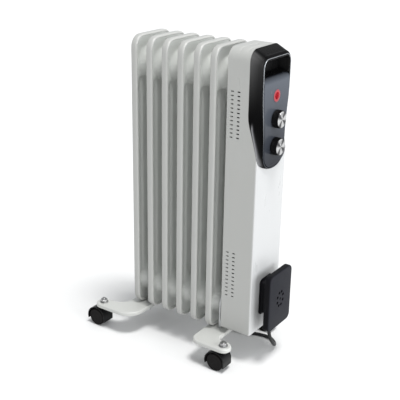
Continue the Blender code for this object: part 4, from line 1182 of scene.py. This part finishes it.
def wing_mesh(top):
    """Two rounded ears standing away from the hub."""
    ear = [(0.0030, -0.0090, 0.0004), (0.0120, -0.0125, 0.0022), (0.0132, -0.0080, 0.0026),
           (0.0050, -0.0035, 0.0010)]
    corners = ear + [(-x, z, radius) for x, z, radius in reversed(ear)]
    shape = round_corners([(x, top + z, radius) for x, z, radius in corners], 5)
    thin = inset(shape, 0.0004)
    return loft("wings", [along_x(thin, -0.0012), along_x(shape, -0.0008), along_x(shape, 0.0008),
                          along_x(thin, 0.0012)], 50)


def stem_mesh():
    """The caster's bolt: collar under the foot; washer, chamfered nut and thread above it."""
    under, over = FOOT_TOP - FOOT_SHEET - GAP, FOOT_TOP + GAP
    count, thin = 48, STEM_RADIUS - 0.0002
    profile = [(STEM_RADIUS, 0.0250), (STEM_RADIUS, under - 0.0025), (0.0072, under - 0.0024),
               (0.0075, under - 0.0021), (0.0075, under), (STEM_RADIUS, under + 0.0001), (STEM_RADIUS, over),
               (0.0088, over + 0.0001), (0.0090, over + 0.0003), (0.0090, over + 0.0011),
               (0.0088, over + 0.0013), (0.0066, over + 0.0014)]
    thread = [(0.0064, over + 0.0066), (thin, over + 0.0067)]
    for k in range(5):
        start = over + 0.0067 + 0.0005 * k
        thread += [(thin - 0.0003, start + 0.00012), (thin, start + 0.0004)]
    thread.append((thin - 0.0006, over + 0.0092))
    rings = [along_z(circle(radius, count), z) for radius, z in profile]
    rings += [along_z(hexagon(0.0130, count), z) for z in (over + 0.0018, over + 0.0060)]
    rings += [along_z(circle(radius, count), z) for radius, z in thread]
    return loft("caster_stem", rings, 30)


def hood_profile(distance):
    """The hood's side view about the wheel centre, from its front foot over to its rear one."""
    radius = HOOD_RADIUS - distance
    front = HOOD_FRONT - distance
    points = [(front, -0.0075 + distance * 0.5), (front, 0.002), (front, 0.0085)]
    for k in range(31):
        angle = radians(38 + 160 * k / 30)
        points.append((min(radius * cos(angle), front), radius * sin(angle)))
    return points


def hood_mesh():
    """A shell over both wheels, closed in the middle by the web that carries axle and stem."""
    def placed(outline):
        return [(x - CASTER_TRAIL, z + WHEEL_RADIUS) for x, z in outline]

    edge = 0.0004
    outline = placed(hood_profile(0.0) + hood_profile(HOOD_WALL)[::-1])
    thin = placed(hood_profile(edge) + hood_profile(HOOD_WALL - edge)[::-1])
    rings = [along_y(thin, -HOOD_HALF_Y), along_y(outline, -HOOD_HALF_Y + edge),
             along_y(outline, HOOD_HALF_Y - edge), along_y(thin, HOOD_HALF_Y)]
    web = slab(placed(hood_profile(HOOD_WALL * 0.5) + [(-0.0100, -0.0072), (0.0, -0.0085)]), WEB_HALF_Y)
    socket = turned("socket", [(0.0066, 0.036), (0.0066, HOOD_TOP - 0.0005), (0.0061, HOOD_TOP)], 40, "Z")
    stem_bore = drill(STEM_RADIUS + GAP, 0.0235, 0.060, "Z")
    axle_bore = drill(AXLE_RADIUS + GAP, -0.02, 0.02, "Y", (-CASTER_TRAIL, 0, WHEEL_RADIUS))
    return carved(loft("caster_hood", rings, 40), [stem_bore, axle_bore], 40, [web, socket])


def wheel_mesh(sign):
    """A wheel with a rounded tread, a stepped and dished outer face and a blind axle bore."""
    inner, outer = WHEEL_INNER_Y, WHEEL_OUTER_Y
    bore = AXLE_RADIUS + GAP
    profile = [(bore, inner + 0.0062), (bore, inner), (0.0162, inner), (0.0172, inner + 0.0002)]
    profile += [(WHEEL_RADIUS - 0.0010 + 0.0010 * s, inner + 0.0014 - 0.0010 * c) for c, s in quarter(4)]
    profile += [(WHEEL_RADIUS, outer - 0.0024)]
    profile += [(WHEEL_RADIUS - 0.0018 * (1 - c), outer - 0.0024 + 0.0022 * s) for c, s in quarter(5)[1:]]
    face = [(0.0150, 0.0), (0.0144, 0.0002), (0.0140, 0.0007), (0.0130, 0.0008), (0.0090, 0.0005),
            (0.0060, 0.0003), (0.0055, 0.0006), (0.0020, 0.0006)]
    profile += [(radius, outer - sunk) for radius, sunk in face]
    return turned("caster_wheel", [(radius, sign * y) for radius, y in profile], 72, "Y", 30)


def make_casters():
    stem, hood = stem_mesh(), hood_mesh()
    wheels = {1: wheel_mesh(1), -1: wheel_mesh(-1)}
    for side in BOLT_X:
        for label, y in (("near", -BOLT_Y), ("far", BOLT_Y)):
            name = f"{side}_{label}"
            at = (BOLT_X[side], y, 0)
            piece(f"stem_{name}", stem, "bolt", f"caster_stem_{name}", at=at)
            piece(f"hood_{name}", hood, "hood", f"caster_hood_{name}", body=f"caster_{name}", at=at)
            hub = (BOLT_X[side] - CASTER_TRAIL, y, WHEEL_RADIUS)
            for place in ("inner", "outer"):
                sign = 1 if (place == "inner") == (y < 0) else -1
                node_name = f"wheel_{name}_{place}"
                piece("tyre_" + node_name, wheels[sign], "wheel", node_name, body=node_name, at=hub)


def dress_kept_nodes():
    """Materials for the CAD pieces whose shape is shown as it is."""
    dressed = {
        "zinc": ["oil_filler_plug", "element_head", "thermostat_spindle", "selector_spindle"],
        "phenolic": ["thermostat_body", "selector_body", "thermal_cutout"],
        "sheath": ["heating_element"],
        "shield": ["heat_shield"],
        "terminal": ["terminal_block"],
    }
    dressed["zinc"] += [f"caster_axle_{side}_{label}" for side in BOLT_X for label in ("near", "far")]
    for look, node_names in dressed.items():
        for node_name in node_names:
            for material_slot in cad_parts[node_name].material_slots:
                material_slot.material = LOOKS[look][1]


# ---- camera, stage and light

def make_camera():
    """Stands in front of the near side, turned towards the control end, above the heater."""
    azimuth, elevation, roll = (radians(angle) for angle in (34.17, 21.26, 0.986))
    level = cos(elevation)
    back = Vector((sin(azimuth) * level, -cos(azimuth) * level, sin(elevation)))
    right = (-back).cross(Vector((0, 0, 1))).normalized()
    up = back.cross(right)
    tilted_right = cos(roll) * right + sin(roll) * up
    tilted_up = -sin(roll) * right + cos(roll) * up
    camera = new_object("camera", bpy.data.cameras.new("camera"))
    stand = Matrix((tilted_right, tilted_up, back)).transposed().to_4x4()
    stand.translation = Vector((0.8704, -1.2664, 0.8975))
    camera.matrix_world = stand
    camera.data.sensor_width = 36.0
    camera.data.lens = 73.2
    bpy.context.scene.camera = camera


def make_stage():
    bm = bmesh.new()
    bmesh.ops.create_grid(bm, x_segments=8, y_segments=8, size=30.0)
    floor = new_object("studio_floor", finish_mesh(bm, "studio_floor"))
    floor.data.materials.append(floor_look().material)
    floor.location = (0, 0, -0.0002)


def add_sun(name, towards, strength, spread, colour):
    lamp = bpy.data.lights.new(name, "SUN")
    lamp.energy = strength
    lamp.angle = radians(spread)
    lamp.color = colour
    thing = new_object(name, lamp)
    thing.rotation_mode = "QUATERNION"
    thing.rotation_quaternion = Vector(towards).to_track_quat("Z", "Y")


def make_light():
    """A broad key from above, a low broad light on the control end, and an even pale surround."""
    add_sun("key", (0.25, -0.08, 0.965), pi * 0.76, 17, (1.0, 0.998, 0.99))
    add_sun("end_fill", (0.985, 0.05, 0.16), pi * 0.93, 50, (0.975, 0.988, 1.0))
    world = bpy.data.worlds.new("studio")
    world.use_nodes = True
    background = world.node_tree.nodes["Background"]
    background.inputs["Color"].default_value = (0.96, 0.98, 1.0, 1.0)
    background.inputs["Strength"].default_value = 0.60
    bpy.context.scene.world = world
    bpy.context.scene.view_settings.view_transform = "Standard"


make_camera()
LOOKS = make_looks()
make_cord()
make_cord_plate()
make_fins()
make_housing()
make_shell()
make_fascia()
make_lamp()
make_knobs()
for side in FOOT_BAR:
    make_foot(side)
    make_u_bolt(side)
make_casters()
dress_kept_nodes()
make_stage()
make_light()
